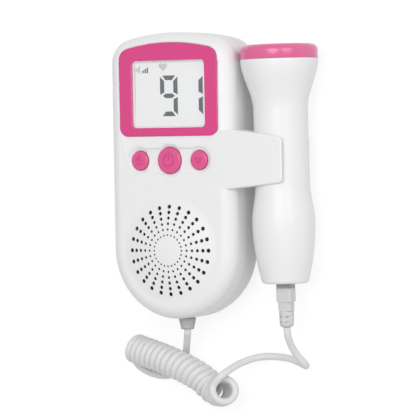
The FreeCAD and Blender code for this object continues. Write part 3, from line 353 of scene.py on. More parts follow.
class Nodes:
    """A tree of nodes, which all come from one method."""

    def __init__(self, tree):
        self.tree = tree
        self.tree.nodes.clear()

    def node(self, kind, settings=None, inputs=None):
        """Adds a node, sets its settings first, then its sockets' values or links."""
        made = self.tree.nodes.new(kind)
        for name, value in (settings or {}).items():
            setattr(made, name, value)
        for name, value in (inputs or {}).items():
            self.feed(made.inputs[name], value)
        return made

    def feed(self, socket, value):
        """Links a level or an output to a socket, or sets the socket's value."""
        if isinstance(value, Level):
            value = value.socket
        if isinstance(value, bpy.types.NodeSocket):
            self.tree.links.new(value, socket)
        else:
            socket.default_value = value


class Finish(Nodes):
    """One procedural material, patterned on the object's own coordinates."""

    def __init__(self, name):
        self.material = bpy.data.materials.new(name)
        self.material.use_nodes = True
        super().__init__(self.material.node_tree)
        self.shader = self.node("ShaderNodeBsdfPrincipled")
        self.node("ShaderNodeOutputMaterial", inputs={"Surface": self.shader.outputs[0]})
        self.place = self.node("ShaderNodeTexCoord").outputs["Object"]

    def noise(self, scale, detail=2.0, stretch=(1.0, 1.0, 1.0)):
        """Noise from 0 to 1; scale is in waves per metre, and stretch multiplies it."""
        spot = self.node(
            "ShaderNodeMapping", inputs={"Vector": self.place, "Scale": stretch}
        ).outputs[0]
        made = self.node(
            "ShaderNodeTexNoise", inputs={"Vector": spot, "Scale": scale, "Detail": detail}
        )
        return Level(self, made.outputs[0])

    def coordinate(self, axis):
        apart = self.node("ShaderNodeSeparateXYZ", inputs={0: self.place})
        return Level(self, apart.outputs["XYZ".index(axis)])

    def blend(self, share, first, second):
        """A colour between two colours: the first at a share of 0, the second at 1."""
        mixed = self.node(
            "ShaderNodeMix",
            {"data_type": "RGBA"},
            {"Factor": share, 6: colour(first), 7: colour(second)},
        )
        return mixed.outputs[2]

    def set(self, **values):
        """Values and links on the shader's own sockets."""
        for name, value in values.items():
            self.feed(self.shader.inputs[name.replace("_", " ")], value)
        return self

    def bump(self, height, strength, distance):
        """Relief on the shader's normal: a height of 1 stands for the distance."""
        relief = self.node(
            "ShaderNodeBump",
            inputs={"Strength": strength, "Distance": distance, "Height": height},
        )
        return self.set(Normal=relief.outputs[0])


def colour(value):
    """A colour's socket as it is, or three channels with an opaque fourth."""
    if isinstance(value, bpy.types.NodeSocket):
        return value
    return tuple(value)[:3] + (1.0,)


def shade(value, factor):
    """A colour whose channels are multiplied by a factor."""
    return tuple(channel * factor for channel in value[:3])


def moulded(name, tone, roughness=0.36):
    """Injection-moulded plastic: faint flow variation and a fine satin grain."""
    finish = Finish(name)
    flow = finish.noise(28.0, 3.0)
    grit = finish.noise(2600.0, 1.0)
    finish.set(
        Base_Color=finish.blend(flow, shade(tone, 0.985), tone),
        Roughness=finish.noise(900.0, 2.0) * 0.08 + (roughness - 0.04),
        IOR=1.5,
    )
    return finish.bump(grit, 0.10, 0.00003)


def gloss_trim(name, tone):
    """Polished coloured plastic with faint clouds in its gloss."""
    finish = Finish(name)
    return finish.set(
        Base_Color=finish.blend(finish.noise(40.0, 2.0), shade(tone, 0.97), tone),
        Roughness=finish.noise(300.0, 1.0) * 0.04 + 0.22,
        Coat_Weight=finish.noise(60.0, 1.0) * 0.2 + 0.3,
        Coat_Roughness=0.12,
        IOR=1.5,
    )


def clear_window(name):
    """Thin clear plastic: it shows what lies behind it and keeps a soft gloss."""
    finish = Finish(name)
    smear = finish.noise(90.0, 3.0)
    return finish.set(
        Base_Color=finish.blend(smear, (0.93, 0.94, 0.95), (0.97, 0.98, 0.99)),
        Roughness=smear * 0.05 + 0.08,
        Alpha=smear * 0.02 + 0.05,
        IOR=1.45,
    )


def screen(name, tone):
    """Display face: pale grey with a fine dot texture, and a glow that stands for a backlight
    and fills in the frame's shadow on the face: partly painted light.
    """
    finish = Finish(name)
    dot_rate = 14000.0
    columns = (finish.coordinate("X") * dot_rate).wave()
    rows = (finish.coordinate("Y") * dot_rate).wave()
    cloud = finish.noise(22.0, 2.0)
    finish.set(
        Base_Color=finish.blend(cloud, shade(tone, 0.51), shade(tone, 0.55)),
        Roughness=cloud * 0.1 + 0.35,
        # The glow lifts the frame's shadow off the screen: painted light.
        Emission_Color=colour(shade(tone, 0.38)),
        Emission_Strength=1.0,
    )
    return finish.bump(columns * rows, 0.04, 0.00002)


def frosted(name, tone):
    """Light guide with a frosted face."""
    finish = Finish(name)
    haze = finish.noise(700.0, 3.0)
    finish.set(
        Base_Color=finish.blend(haze, shade(tone, 0.94), tone),
        Roughness=haze * 0.2 + 0.5,
    )
    return finish.bump(haze, 0.2, 0.00005)


def soft_rubber(name, tone):
    """Matte elastomer with a dusty, fine surface."""
    finish = Finish(name)
    dust = finish.noise(500.0, 4.0)
    finish.set(
        Base_Color=finish.blend(dust, shade(tone, 0.85), shade(tone, 1.1)),
        Roughness=dust * 0.15 + 0.6,
        Specular_IOR_Level=0.35,
    )
    return finish.bump(finish.noise(3000.0, 2.0), 0.15, 0.00004)


def circuit_board(name):
    """Solder mask with copper tracks that run in two directions under it."""
    finish = Finish(name)
    track_rate = 2600.0
    wide_gap, wider_gap = 0.72, 0.80
    along = (finish.coordinate("X") * track_rate).wave() > wide_gap
    across = (finish.coordinate("Y") * track_rate).wave() > wider_gap
    zone = finish.noise(90.0, 0.0) > 0.5
    tracks = along * zone + across * (1.0 - zone)
    finish.set(
        Base_Color=finish.blend(tracks, (0.012, 0.105, 0.045), (0.03, 0.21, 0.08)),
        Roughness=finish.noise(400.0, 2.0) * 0.1 + 0.3,
    )
    return finish.bump(tracks, 0.3, 0.00003)


def chip_resin(name):
    """Black moulding resin with a fine grain."""
    finish = Finish(name)
    grain = finish.noise(4000.0, 2.0)
    finish.set(
        Base_Color=finish.blend(grain, (0.018, 0.018, 0.02), (0.045, 0.045, 0.048)),
        Roughness=grain * 0.2 + 0.5,
    )
    return finish.bump(grain, 0.2, 0.00003)


def plated(name, tone, roughness):
    """Plated metal with fine drawn scratches and slight tarnish."""
    finish = Finish(name)
    scratch = finish.noise(600.0, 3.0, (1.0, 1.0, 14.0))
    tarnish = finish.noise(160.0, 3.0)
    finish.set(
        Base_Color=finish.blend(tarnish, shade(tone, 0.82), tone),
        Metallic=1.0,
        Roughness=scratch * 0.18 + (roughness - 0.09),
    )
    return finish.bump(scratch, 0.12, 0.00003)


def pulp_cone(name):
    """Black paper pulp with short fibres."""
    finish = Finish(name)
    fibre = finish.noise(1500.0, 4.0, (1.0, 3.0, 1.0))
    finish.set(
        Base_Color=finish.blend(fibre, (0.012, 0.012, 0.013), (0.05, 0.05, 0.052)),
        Roughness=fibre * 0.1 + 0.8,
    )
    return finish.bump(fibre, 0.5, 0.0001)


def cell_jacket(name):
    """Battery jacket: a dark sleeve with a grey band, and bare metal at its ends."""
    finish = Finish(name)
    middle, sleeve_end = -32.1 * MM, 23.6 * MM
    band_from, band_to = 10.5 * MM, 12.0 * MM
    height = (finish.coordinate("Y") - middle).size()
    sleeve = height < sleeve_end
    band = (height < band_to) * (height > band_from)
    tone = finish.blend(
        band, finish.blend(sleeve, (0.62, 0.62, 0.62), (0.05, 0.06, 0.075)), (0.5, 0.5, 0.5)
    )
    return finish.set(
        Base_Color=tone,
        Metallic=1.0 - sleeve,
        Roughness=finish.noise(700.0, 2.0) * 0.1 + 0.28,
    )


def cord_jacket(name, tone):
    """Soft extruded jacket, faintly matte, with a fine skin."""
    finish = Finish(name)
    skin = finish.noise(1100.0, 2.0)
    finish.set(
        Base_Color=finish.blend(finish.noise(120.0, 2.0), shade(tone, 0.97), tone),
        Roughness=skin * 0.1 + 0.38,
        IOR=1.5,
    )
    return finish.bump(skin, 0.12, 0.00003)


def fired_ceramic(name):
    """Unglazed ceramic with a fine grain."""
    finish = Finish(name)
    grain = finish.noise(1800.0, 4.0)
    finish.set(
        Base_Color=finish.blend(grain, (0.60, 0.53, 0.37), (0.78, 0.72, 0.56)),
        Roughness=grain * 0.2 + 0.6,
    )
    return finish.bump(grain, 0.3, 0.00004)


def digit_ink(name, tone):
    """Even ink of the display's print."""
    finish = Finish(name)
    return finish.set(
        Base_Color=finish.blend(finish.noise(300.0, 1.0), shade(tone, 0.9), tone),
        Roughness=0.5,
    )


FINISHES = {}


class DOPPLER_OT_finishes(bpy.types.Operator):
    """Mix every finish of the object, by the name of its material slot"""

    bl_idname = "doppler.finishes"
    bl_label = "Finishes"

    def execute(self, context):
        tint = colours()
        white = tuple(tint.shell)
        FINISHES.update(
            white_shell=moulded("shell_white", white),
            pink_trim=gloss_trim("frame_pink", tuple(tint.trim)),
            key_pink=gloss_trim("key_pink", tuple(tint.keys)),
            # The cap's pink is the keys' pink lightened a little towards white: painted light
            # for a brighter cap.
            cap_pink=gloss_trim("cap_pink", tuple(c + 0.04 * (1 - c) for c in tint.keys)),
            clear_lens=clear_window("lens_clear"),
            lcd_glass=screen("screen_grey", tuple(tint.screen)),
            light_guide=frosted("guide_frosted", (0.86, 0.87, 0.9)),
            black_rubber=soft_rubber("strip_black", (0.035, 0.035, 0.035)),
            green_board=circuit_board("board_green"),
            chip_black=chip_resin("chip_resin"),
            screw_steel=plated("screw_zinc", (0.62, 0.62, 0.64), 0.32),
            plunger_grey=moulded("plunger_grey", (0.25, 0.25, 0.25)),
            cone_paper=pulp_cone("cone_pulp"),
            cell_jacket=cell_jacket("cell_jacket"),
            contact_nickel=plated("contact_nickel", (0.72, 0.69, 0.62), 0.25),
            grey_boot=soft_rubber("boot_grey", (0.50, 0.50, 0.505)),
            cloth_black=soft_rubber("cloth_black", (0.012, 0.012, 0.013)),
            # The back shell's finish is the housing white darkened a little: painted shade on
            # the back half of the housing.
            shell_back=moulded("shell_back", shade(white, 0.94)),
            cord_white=cord_jacket("cord_white", (0.78, 0.78, 0.78)),
            # The collar's dark grey stands for the shadow under the probe's foot: painted
            # shadow on the plug's shoulder.
            plug_dark=moulded("plug_dark", (0.38, 0.38, 0.38)),
            plug_grey=moulded("plug_grey", (0.67, 0.67, 0.67), 0.3),
            plug_light=soft_rubber("plug_light", (0.68, 0.68, 0.68)),
            piezo_ceramic=fired_ceramic("crystal_ceramic"),
            backing_resin=chip_resin("backing_resin"),
            lcd_ink=digit_ink("digit_ink", tuple(tint.ink)),
            lcd_faint=digit_ink("digit_faint", shade(tint.screen, 0.66)),
        )
        return {"FINISHED"}


# ---------------------------------------------------------------- mesh helpers


def piece(name, points, faces, slot, body, finish=None):
    """A mesh object at the origin that rides on a body and takes a slot's finish."""
    mesh = bpy.data.meshes.new(name)
    mesh.from_pydata(np.asarray(points).tolist(), [], np.asarray(faces).tolist())
    mesh.update()
    made = bpy.data.objects.new(name, mesh)
    return fitted(made, slot, body, finish)


def fitted(made, slot, body, finish=None):
    """Puts a new object in the scene, with its finish, its slot and its body."""
    bpy.context.scene.collection.objects.link(made)
    made.data.materials.clear()
    made.data.materials.append(FINISHES[finish or slot].material)
    if body:
        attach(made, body)
    return made


def smooth(made, angle=None):
    """Shades a mesh smooth, and keeps edges that bend more than the angle crisp."""
    made.data.shade_smooth()
    made.data.set_sharp_from_angle(angle=angle or sizes().smooth_angle)


def grid_faces(rows, columns):
    """Quads between neighbours on rows of points, whose last column meets the first."""
    row = np.arange(rows - 1)[:, None]
    column = np.arange(columns)[None, :]
    beside = (column + 1) % columns
    quads = [
        row * columns + column,
        row * columns + beside,
        (row + 1) * columns + beside,
        (row + 1) * columns + column,
    ]
    return np.stack(np.broadcast_arrays(*quads), axis=-1).reshape(-1, 4)


def close_poles(made):
    """Closes a turned piece's open ends and points all its faces outwards."""
    edit = bmesh.new()
    edit.from_mesh(made.data)
    bmesh.ops.remove_doubles(edit, verts=edit.verts, dist=MERGE)
    open_edges = [edge for edge in edit.edges if edge.is_boundary]
    if open_edges:
        bmesh.ops.holes_fill(edit, edges=open_edges, sides=0)
    bmesh.ops.recalc_face_normals(edit, faces=edit.faces)
    edit.to_mesh(made.data)
    edit.free()


def polished_copy(name, node, slot, body, finish=None, angle=None):
    """A copy of a solid's mesh with its loose triangles joined and shaded smooth."""
    mesh = frame["nodes"][node].data.copy()
    mesh.name = name
    joined = bmesh.new()
    joined.from_mesh(mesh)
    bmesh.ops.remove_doubles(joined, verts=joined.verts, dist=MERGE)
    joined.to_mesh(mesh)
    joined.free()
    made = bpy.data.objects.new(name, mesh)
    fitted(made, slot, body, finish)
    smooth(made, angle)
    even = made.modifiers.new("even_normals", "WEIGHTED_NORMAL")
    even.keep_sharp = True
    even.weight = 60
    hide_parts(node)


def lathe(profile, foot, axis, around):
    """A profile of (radius, height) pairs carried round an axis: each point is the foot
    plus the height along the axis plus the radius along a spoke that turns with the angle.
    The first spoke is level, and points along X where the axis stands upright."""
    axis = axis / np.linalg.norm(axis)
    first = np.cross(axis, (0.0, 0.0, 1.0))
    if not first.any():
        first = np.array([1.0, 0.0, 0.0])
    first = first / np.linalg.norm(first)
    second = np.cross(axis, first)
    turn = np.linspace(0, 2 * np.pi, around, endpoint=False)
    spokes = np.cos(turn)[:, None] * first + np.sin(turn)[:, None] * second
    radius, height = np.array(profile, float).T
    points = (
        np.asarray(foot)
        + height[:, None, None] * axis
        + radius[:, None, None] * spokes[None, :, :]
    )
    return points.reshape(-1, 3), grid_faces(len(profile), around)


def bezier(poles, count):
    """Points on a Bezier curve: the sum of its poles, each weighted by its Bernstein share."""
    poles = np.array(poles, float)
    degree = len(poles) - 1
    t = np.linspace(0, 1, count)[:, None]
    return sum(
        math.comb(degree, k) * t**k * (1 - t) ** (degree - k) * poles[k]
        for k in range(degree + 1)
    )


def rounded(centre, radius, start, stop, count):
    """Points on an arc of a profile, from one angle to another in degrees."""
    turn = np.radians(np.linspace(start, stop, count))
    return np.stack(
        [centre[0] + radius * np.cos(turn), centre[1] + radius * np.sin(turn)], axis=1
    )


def swell(z0, r0, z1, r1, count):
    """A profile between two radii that leaves and arrives parallel to the axis."""
    third = (z1 - z0) / 3
    return bezier([(r0, z0), (r0, z0 + third), (r1, z1 - third), (r1, z1)], count)


# ---------------------------------------------------------------- cord


def smooth_step(share):
    """3s^2 - 2s^3 of a share held between 0 and 1."""
    share = np.clip(share, 0, 1)
    return share * share * (3 - 2 * share)


def nurbs_line(name, points, resolution):
    """One open NURBS spline of order 3 with the points as its control points."""
    curve = bpy.data.curves.new(name, "CURVE")
    curve.dimensions = "3D"
    spline = curve.splines.new("NURBS")
    spline.points.add(len(points) - 1)
    spline.points.foreach_set(
        "co", np.c_[np.array(points, float), np.ones(len(points))].ravel()
    )
    spline.order_u = 3
    spline.use_endpoint_u = True
    spline.resolution_u = resolution
    return curve


def coil_points():
    """Control points of the curly stretch. Ring after ring stands across the bent axis.
    After the even turns the rings lean back as a smooth step. There each step of the
    centre is the turn's share of the pitch plus the radius times the change of the lean,
    along the ring's own normal, so that the turns still touch at the inside of the bend.
    The control points stand a little outside the ring."""
    setting = sizes()
    per_turn = setting.turn_points
    even = int(round(setting.coil_turns * per_turn))
    rest = int(round((setting.bend_turns + setting.open_turns) * per_turn))
    axis = bezier(COIL_AXIS, even + 1)
    way = np.gradient(axis, axis=0) * (1, 1, 0)
    way /= np.linalg.norm(way, axis=1)[:, None]
    bent = smooth_step(np.arange(1, rest + 1) / per_turn / setting.bend_turns)
    leans = EVEN_LEAN + (setting.open_lean - EVEN_LEAN) * bent
    ways = way[-1] * (1 - bent[:, None]) + OPEN_WAY * bent[:, None]
    ways /= np.linalg.norm(ways, axis=1)[:, None]
    normals = ways * np.cos(leans)[:, None] + (0, 0, 1) * np.sin(leans)[:, None]
    pitch = TURN_SHARE * setting.cord_diameter / per_turn
    steps = pitch + setting.coil_radius * np.diff(leans, prepend=EVEN_LEAN)
    rings = axis[-1] + np.cumsum(steps[:, None] * normals, axis=0)
    centres = np.concatenate([axis, rings])
    way = np.concatenate([way, ways])
    leans = np.concatenate([np.full(even + 1, EVEN_LEAN), leans])[:, None]
    side = np.cross((0, 0, 1), way)
    up = np.cos(leans) * (0, 0, 1) - np.sin(leans) * way
    angle = np.pi - 2 * np.pi * np.arange(len(centres))[:, None] / per_turn
    radius = setting.coil_radius / math.cos(math.pi / per_turn) ** OUTSET_POWER
    points = centres + (side * np.cos(angle) + up * np.sin(angle)) * radius
    return [tuple(point) for point in points]


def line_points(curve):
    """The points of a curve's own line, as Blender works it out without a bevel."""
    carrier = bpy.data.objects.new(curve.name + "_line", curve)
    mesh = bpy.data.meshes.new_from_object(carrier)
    places = [tuple(vertex.co) for vertex in mesh.vertices]
    bpy.data.meshes.remove(mesh)
    bpy.data.objects.remove(carrier)
    return places


def cord_tube(name, points, resolution):
    """The cord's jacket as a mesh round its spline, and the line that it follows."""
    curve = nurbs_line(name, points, resolution)
    path = line_points(curve)
    curve.bevel_depth = sizes().cord_diameter / 2
    curve.bevel_resolution = JACKET_STEPS
    curve.use_fill_caps = True
    carrier = bpy.data.objects.new(name + "_curve", curve)
    mesh = bpy.data.meshes.new_from_object(carrier)
    bpy.data.objects.remove(carrier)
    mesh.name = name
    made = bpy.data.objects.new(name, mesh)
    return made, path


class DOPPLER_OT_cord(bpy.types.Operator):
    """Lay the cord: a lead to the coil, the curly stretch and the lead to the plug"""

    bl_idname = "doppler.cord"
    bl_label = "Cord"

    def execute(self, context):
        turns = coil_points()
        lead, lead_path = cord_tube("cord_lead", LEAD_ROUTE + turns[:1], LEAD_STEPS)
        fitted(lead, "cord_white", "main_unit")
        smooth(lead)
        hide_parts("cord_lead_unit")
        curl, curl_path = cord_tube("cord_curl", turns + PLUG_ROUTE, CURL_STEPS)
        fitted(curl, "cord_white", None)
        smooth(curl)
        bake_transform(curl)
        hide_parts("curly_cord", "cord_lead_probe")
        return {"FINISHED"}


class DOPPLER_OT_plug(bpy.types.Operator):
    """Dress the plug and the strain relief"""

    bl_idname = "doppler.plug"
    bl_label = "Plug and strain relief"

    def execute(self, context):
        polished_copy("strain_relief_boot", "strain_relief", "grey_boot", "main_unit")
        # The collar is drawn dark: painted shadow under the probe.
        polished_copy("plug_collar_moulding", "plug_collar", "plug_dark", "probe")
        polished_copy(
            "plug_body_moulding", "plug_body", "plug_grey", "probe", angle=math.radians(12)
        )
        polished_copy("plug_boot_moulding", "plug_boot", "plug_light", "probe")
        return {"FINISHED"}


# ---------------------------------------------------------------- housing


class DOPPLER_OT_housing(bpy.types.Operator):
    """Dress the two shells, the battery cover and the display frame"""

    bl_idname = "doppler.housing"
    bl_label = "Housing"

    def execute(self, context):
        polished_copy("front_housing", "front_shell", "white_shell", "main_unit")
        # The back shell takes the darker copy of the white, which paints shade on it.
        polished_copy(
            "back_housing", "back_shell", "white_shell", "main_unit", "shell_back"
        )
        polished_copy("battery_door", "battery_cover", "white_shell", "battery_door")
        polished_copy("display_surround", "display_frame", "pink_trim", "main_unit")
        return {"FINISHED"}


# ---------------------------------------------------------------- grille


def dome_height(reach):
    """Height of the dome over the face: (1 - (r / R)^2)^1.25 of its top's height, so that
    its foot runs level into the face."""
    share = np.clip(1 - (reach / GRILLE_REACH) ** 2, 0, 1)
    return GRILLE_TOP * share**1.25


def grille_mesh():
    """The domed grille. Round each hole lies a patch: a sector of a ring whose border is
    joined to the hole's circle point by point. A disc fills the middle and rings of quads
    run from the last patches out to the foot; an under side closes the wall."""
    side = 4
    around = 4 * side
    plain_rings = 7
    centre, foot_drop, lift = 0.2 * MM, 0.06 * MM, 0.02 * MM
    step = np.arange(side) / side * 2 - 1
    one = np.ones(side)
    square = np.concatenate(
        [
            np.stack([step, -one], 1),
            np.stack([one, step], 1),
            np.stack([-step, one], 1),
            np.stack([-one, -step], 1),
        ]
    )
    first_corner = 0.75 * np.pi
    walk = np.arange(around) / around * 2 * np.pi - first_corner
    circle = np.stack([np.cos(walk), np.sin(walk)], 1)
    middle = GRILLE_FIRST + np.arange(GRILLE_RINGS) * GRILLE_PITCH
    hole = HOLE_RADIUS + HOLE_GROWTH * np.arange(GRILLE_RINGS)
    angle = square[None, :, 0] * np.pi / GRILLE_RAYS + 0 * middle[:, None]
    radius = middle[:, None] + square[None, :, 1] * GRILLE_PITCH / 2
    border = np.stack([radius * np.sin(angle), radius * np.cos(angle)], -1)
    rim = circle[None] * hole[:, None, None]
    rim[..., 1] += middle[:, None]
    turn = np.arange(GRILLE_RAYS) * 2 * np.pi / GRILLE_RAYS
    spin = np.array([[np.cos(turn), np.sin(turn)], [-np.sin(turn), np.cos(turn)]])
    levels = []
    for flat, drop in ((border, 0), (rim, 0), (rim, GRILLE_WALL), (border, GRILLE_WALL)):
        place = np.einsum("ijr,kaj->rkai", spin, flat)
        height = dome_height(np.linalg.norm(place, axis=-1)) - drop
        levels.append(np.concatenate([place, height[..., None]], -1))
    points = np.stack(levels, axis=2).reshape(-1, 3)
    band = grid_faces(len(levels), around)
    patches = np.arange(GRILLE_RAYS * GRILLE_RINGS)[:, None, None] * len(levels) * around
    faces = (band[None] + patches).reshape(-1, 4)
    steps = GRILLE_RAYS * side
    turn = (np.arange(steps) / steps - 0.5 / GRILLE_RAYS) * 2 * np.pi
    inner = np.linspace(centre, GRILLE_FIRST - GRILLE_PITCH / 2, plain_rings)
    outer = np.linspace(middle[-1] + GRILLE_PITCH / 2, GRILLE_REACH, plain_rings)
    foot = [(GRILLE_REACH, -foot_drop), (outer[0], dome_height(outer[0]) - GRILLE_WALL)]
    for profile in (
        [(r, dome_height(r)) for r in inner],
        [(r, dome_height(r)) for r in outer] + foot,
        [(r, dome_height(r) - GRILLE_WALL) for r in inner],
    ):
        ring = np.array(
            [[r * np.sin(turn), r * np.cos(turn), h + 0 * turn] for r, h in profile]
        ).transpose(0, 2, 1)
        faces = np.concatenate([faces, grid_faces(len(profile), steps) + len(points)])
        points = np.concatenate([points, ring.reshape(-1, 3)])
    return points + (0, GRILLE_Y, FACE_TOP + lift), faces


class DOPPLER_OT_grille(bpy.types.Operator):
    """Press the domed loudspeaker grille with its rays of round holes"""

    bl_idname = "doppler.grille"
    bl_label = "Speaker grille"

    def execute(self, context):
        points, faces = grille_mesh()
        dome = piece("grille_dome", points, faces, "white_shell", "main_unit")
        close_poles(dome)
        smooth(dome)
        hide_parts("speaker_grille")
        return {"FINISHED"}


# ---------------------------------------------------------------- display


# A figure's seven segments as shares of its width and height, and the segments of each
# figure that lights.
SEGMENTS = {
    "a": ((0.13, 1.0), (0.87, 1.0), (0.68, 0.885), (0.32, 0.885)),
    "b": ((1.0, 0.97), (1.0, 0.53), (0.76, 0.585), (0.76, 0.865)),
    "c": ((1.0, 0.47), (1.0, 0.03), (0.76, 0.135), (0.76, 0.415)),
    "d": ((0.87, 0.0), (0.13, 0.0), (0.32, 0.115), (0.68, 0.115)),
    "e": ((0.0, 0.03), (0.0, 0.47), (0.24, 0.415), (0.24, 0.135)),
    "f": ((0.0, 0.53), (0.0, 0.97), (0.24, 0.865), (0.24, 0.585)),
    "g": (
        (0.16, 0.50),
        (0.31, 0.556),
        (0.69, 0.556),
        (0.84, 0.50),
        (0.69, 0.444),
        (0.31, 0.444),
    ),
}
DIGITS = {"9": "abcdfg", "1": "bc"}


def flat_shapes(name, outlines, finish):
    """Printed shapes just before the display, each a flat polygon of (x, y) corners."""
    points, faces = [], []
    for outline in outlines:
        start = len(points)
        points += [(x, y, INNER_FACE + INK_LIFT) for x, y in outline]
        faces.append(list(range(start, len(points))))
    mesh = bpy.data.meshes.new(name)
    mesh.from_pydata(points, [], faces)
    joined = bmesh.new()
    joined.from_mesh(mesh)
    bmesh.ops.recalc_face_normals(joined, faces=joined.faces)
    for face in joined.faces:
        if face.normal.z < 0:
            face.normal_flip()
    joined.to_mesh(mesh)
    joined.free()
    fitted(bpy.data.objects.new(name, mesh), "lcd_glass", "main_unit", finish)


def digit(figure, x, y, width, height):
    """The lit segments of one figure."""
    return [
        [(x + u * width, y + v * height) for u, v in SEGMENTS[segment]]
        for segment in DIGITS[figure]
    ]


def heart_outline(x, y, size):
    """A heart: x is the cube of a sine and y a sum of cosines of the same angle. It is 32
    wide, and is scaled to its size."""
    t = np.linspace(0, 2 * np.pi, 40, endpoint=False)
    across = 16 * np.sin(t) ** 3
    upward = 13 * np.cos(t) - 5 * np.cos(2 * t) - 2 * np.cos(3 * t) - np.cos(4 * t)
    return np.stack([x + across * size / 32, y + upward * size / 32], 1).tolist()


def block(left, right, foot, head):
    """The corners in metres of an upright rectangle, whose sides are in millimetres."""
    corners = [(left, foot), (right, foot), (right, head), (left, head)]
    return [(x * MM, y * MM) for x, y in corners]


class DOPPLER_OT_display(bpy.types.Operator):
    """Print the display's digits and generic symbols behind its lens"""

    bl_idname = "doppler.display"
    bl_label = "Display"

    def execute(self, context):
        foot, width, height = 29.1 * MM, 9.8 * MM, 19.8 * MM
        digits = digit("9", -5.6 * MM, foot, width, height)
        digits += digit("1", 8.4 * MM, foot, width, height)
        flat_shapes("display_digits", digits, "lcd_ink")
        pitch, rise = 1.2, 0.6
        bars = [
            block(-15.4 + k * pitch, -14.6 + k * pitch, 50.3, 51.7 + k * rise) for k in range(3)
        ]
        flat_shapes("display_bars", bars, "lcd_ink")
        horn = [(-18.1, 51.1), (-16.6, 49.9), (-16.6, 53.9), (-18.1, 52.7)]
        symbols = [
            block(-19.1, -18.3, 51.1, 52.7),
            [(x * MM, y * MM) for x, y in horn],
            heart_outline(-3.8 * MM, 53.2 * MM, 4.6 * MM),
        ]
        flat_shapes("display_symbols", symbols, "lcd_faint")
        return {"FINISHED"}


# ---------------------------------------------------------------- keys


def stroke(x, y, start, end, half):
    """How deep a point is inside a round-ended stroke: half its width minus the distance."""
    start, end = np.array(start), np.array(end)
    along = end - start
    share = np.clip(
        ((x - start[0]) * along[0] + (y - start[1]) * along[1]) / (along @ along), 0, 1
    )
    return half - np.hypot(x - start[0] - share * along[0], y - start[1] - share * along[1])


def triangle(x, y, size, sign):
    """How deep a point is inside a triangle's outline; its tip points up for +1. The
    outline is the band that lies between the three sides and a line's width inside them."""
    y = y * sign
    base, slant, normal = 0.5 * size, 0.62 * size, (0.83, 0.55)
    inside = np.minimum(y + base, slant - y * normal[1] - np.abs(x) * normal[0])
    return 0.5 * SYMBOL_LINE - np.abs(inside - 0.5 * SYMBOL_LINE)


def symbol_shape(name, x, y, radius):
    """How deep a point of a key's face is inside its symbol's lines, in metres. The
    symbol's measures are shares of the key's radius."""
    half = 0.5 * SYMBOL_LINE
    if name == "power":
        ring, gap, bar_from, bar_to = (radius * share for share in (0.45, 0.17, 0.10, 0.62))
        arc = half - np.abs(np.hypot(x, y) - ring)
        outside = -1.0 * MM
        arc = np.where((y > 0) & (np.abs(x) < gap), outside, arc)
        return np.maximum(arc, stroke(x, y, (0, bar_from), (0, bar_to), half))
    if name == "volume_up":
        lift, size, reach, under = (radius * share for share in (0.16, 0.42, 0.40, 0.36))
        line = stroke(x, y, (-reach, -under), (reach, -under), half)
        return np.maximum(triangle(x, y - lift, size, 1), line)
    size = 0.46 * radius
    return triangle(x, y, size, -1)


def key_mesh(name, x, radius):
    """A domed key: rows of rings go from its stem out over the flange, up the side, over
    the rim and across the crown to the middle, where the symbol's lines are sunk in. The
    crown is part of a sphere. Heights are over the inner side of the wall."""
    top, rim, crown = 2.7 * MM, 0.8 * MM, 0.2 * MM
    stem, stem_foot = 1.6 * MM, -2.4 * MM
    flange, flange_foot, flange_top = radius + 1.0 * MM, -0.9 * MM, -0.1 * MM
    side_ease, stem_middle = 0.2 * MM, 0.0001 * MM
    line_edge, face_margin = 0.2 * MM, 0.01 * MM
    flat = radius - rim
    sphere = (flat**2 + crown**2) / (2 * crown)
    low = [
        (stem_middle, stem_foot),
        (stem, stem_foot),
        (stem, flange_foot),
        (flange, flange_foot),
        (flange, flange_top),
        (radius, flange_top),
        (radius, top - rim - side_ease),
    ]
    edge = rounded((flat, top - rim), rim, 0, 90, count=9)
    face = np.linspace(flat, POLE, 72)[1:]
    dome = np.stack([face, top + crown - sphere + np.sqrt(sphere**2 - face**2)], 1)
    upright = np.array([0.0, 0.0, 1.0])
    points, faces = lathe(
        np.concatenate([low, edge, dome]), (x, KEY_ROW, INNER_FACE), upright, KEY_SPOKES
    )
    reach = np.hypot(points[:, 0] - x, points[:, 1] - KEY_ROW)
    depth = symbol_shape(name, points[:, 0] - x, points[:, 1] - KEY_ROW, radius)
    sink = smooth_step(depth / line_edge + 0.5) * sizes().symbol_depth
    on_face = (points[:, 2] > INNER_FACE + top - face_margin) & (reach < flat)
    points[:, 2] -= np.where(on_face, sink, 0.0)
    return points, faces


class DOPPLER_OT_keys(bpy.types.Operator):
    """Mould the three round keys with their sunk symbols"""

    bl_idname = "doppler.keys"
    bl_label = "Keys"

    def execute(self, context):
        for name, (x, radius) in KEYS.items():
            points, faces = key_mesh(name, x, radius)
            made = piece(
                name + "_key_cap", points, faces, "pink_trim", name + "_key", "key_pink"
            )
            close_poles(made)
            smooth(made)
            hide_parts(name + "_button")
        return {"FINISHED"}


# ---------------------------------------------------------------- probe


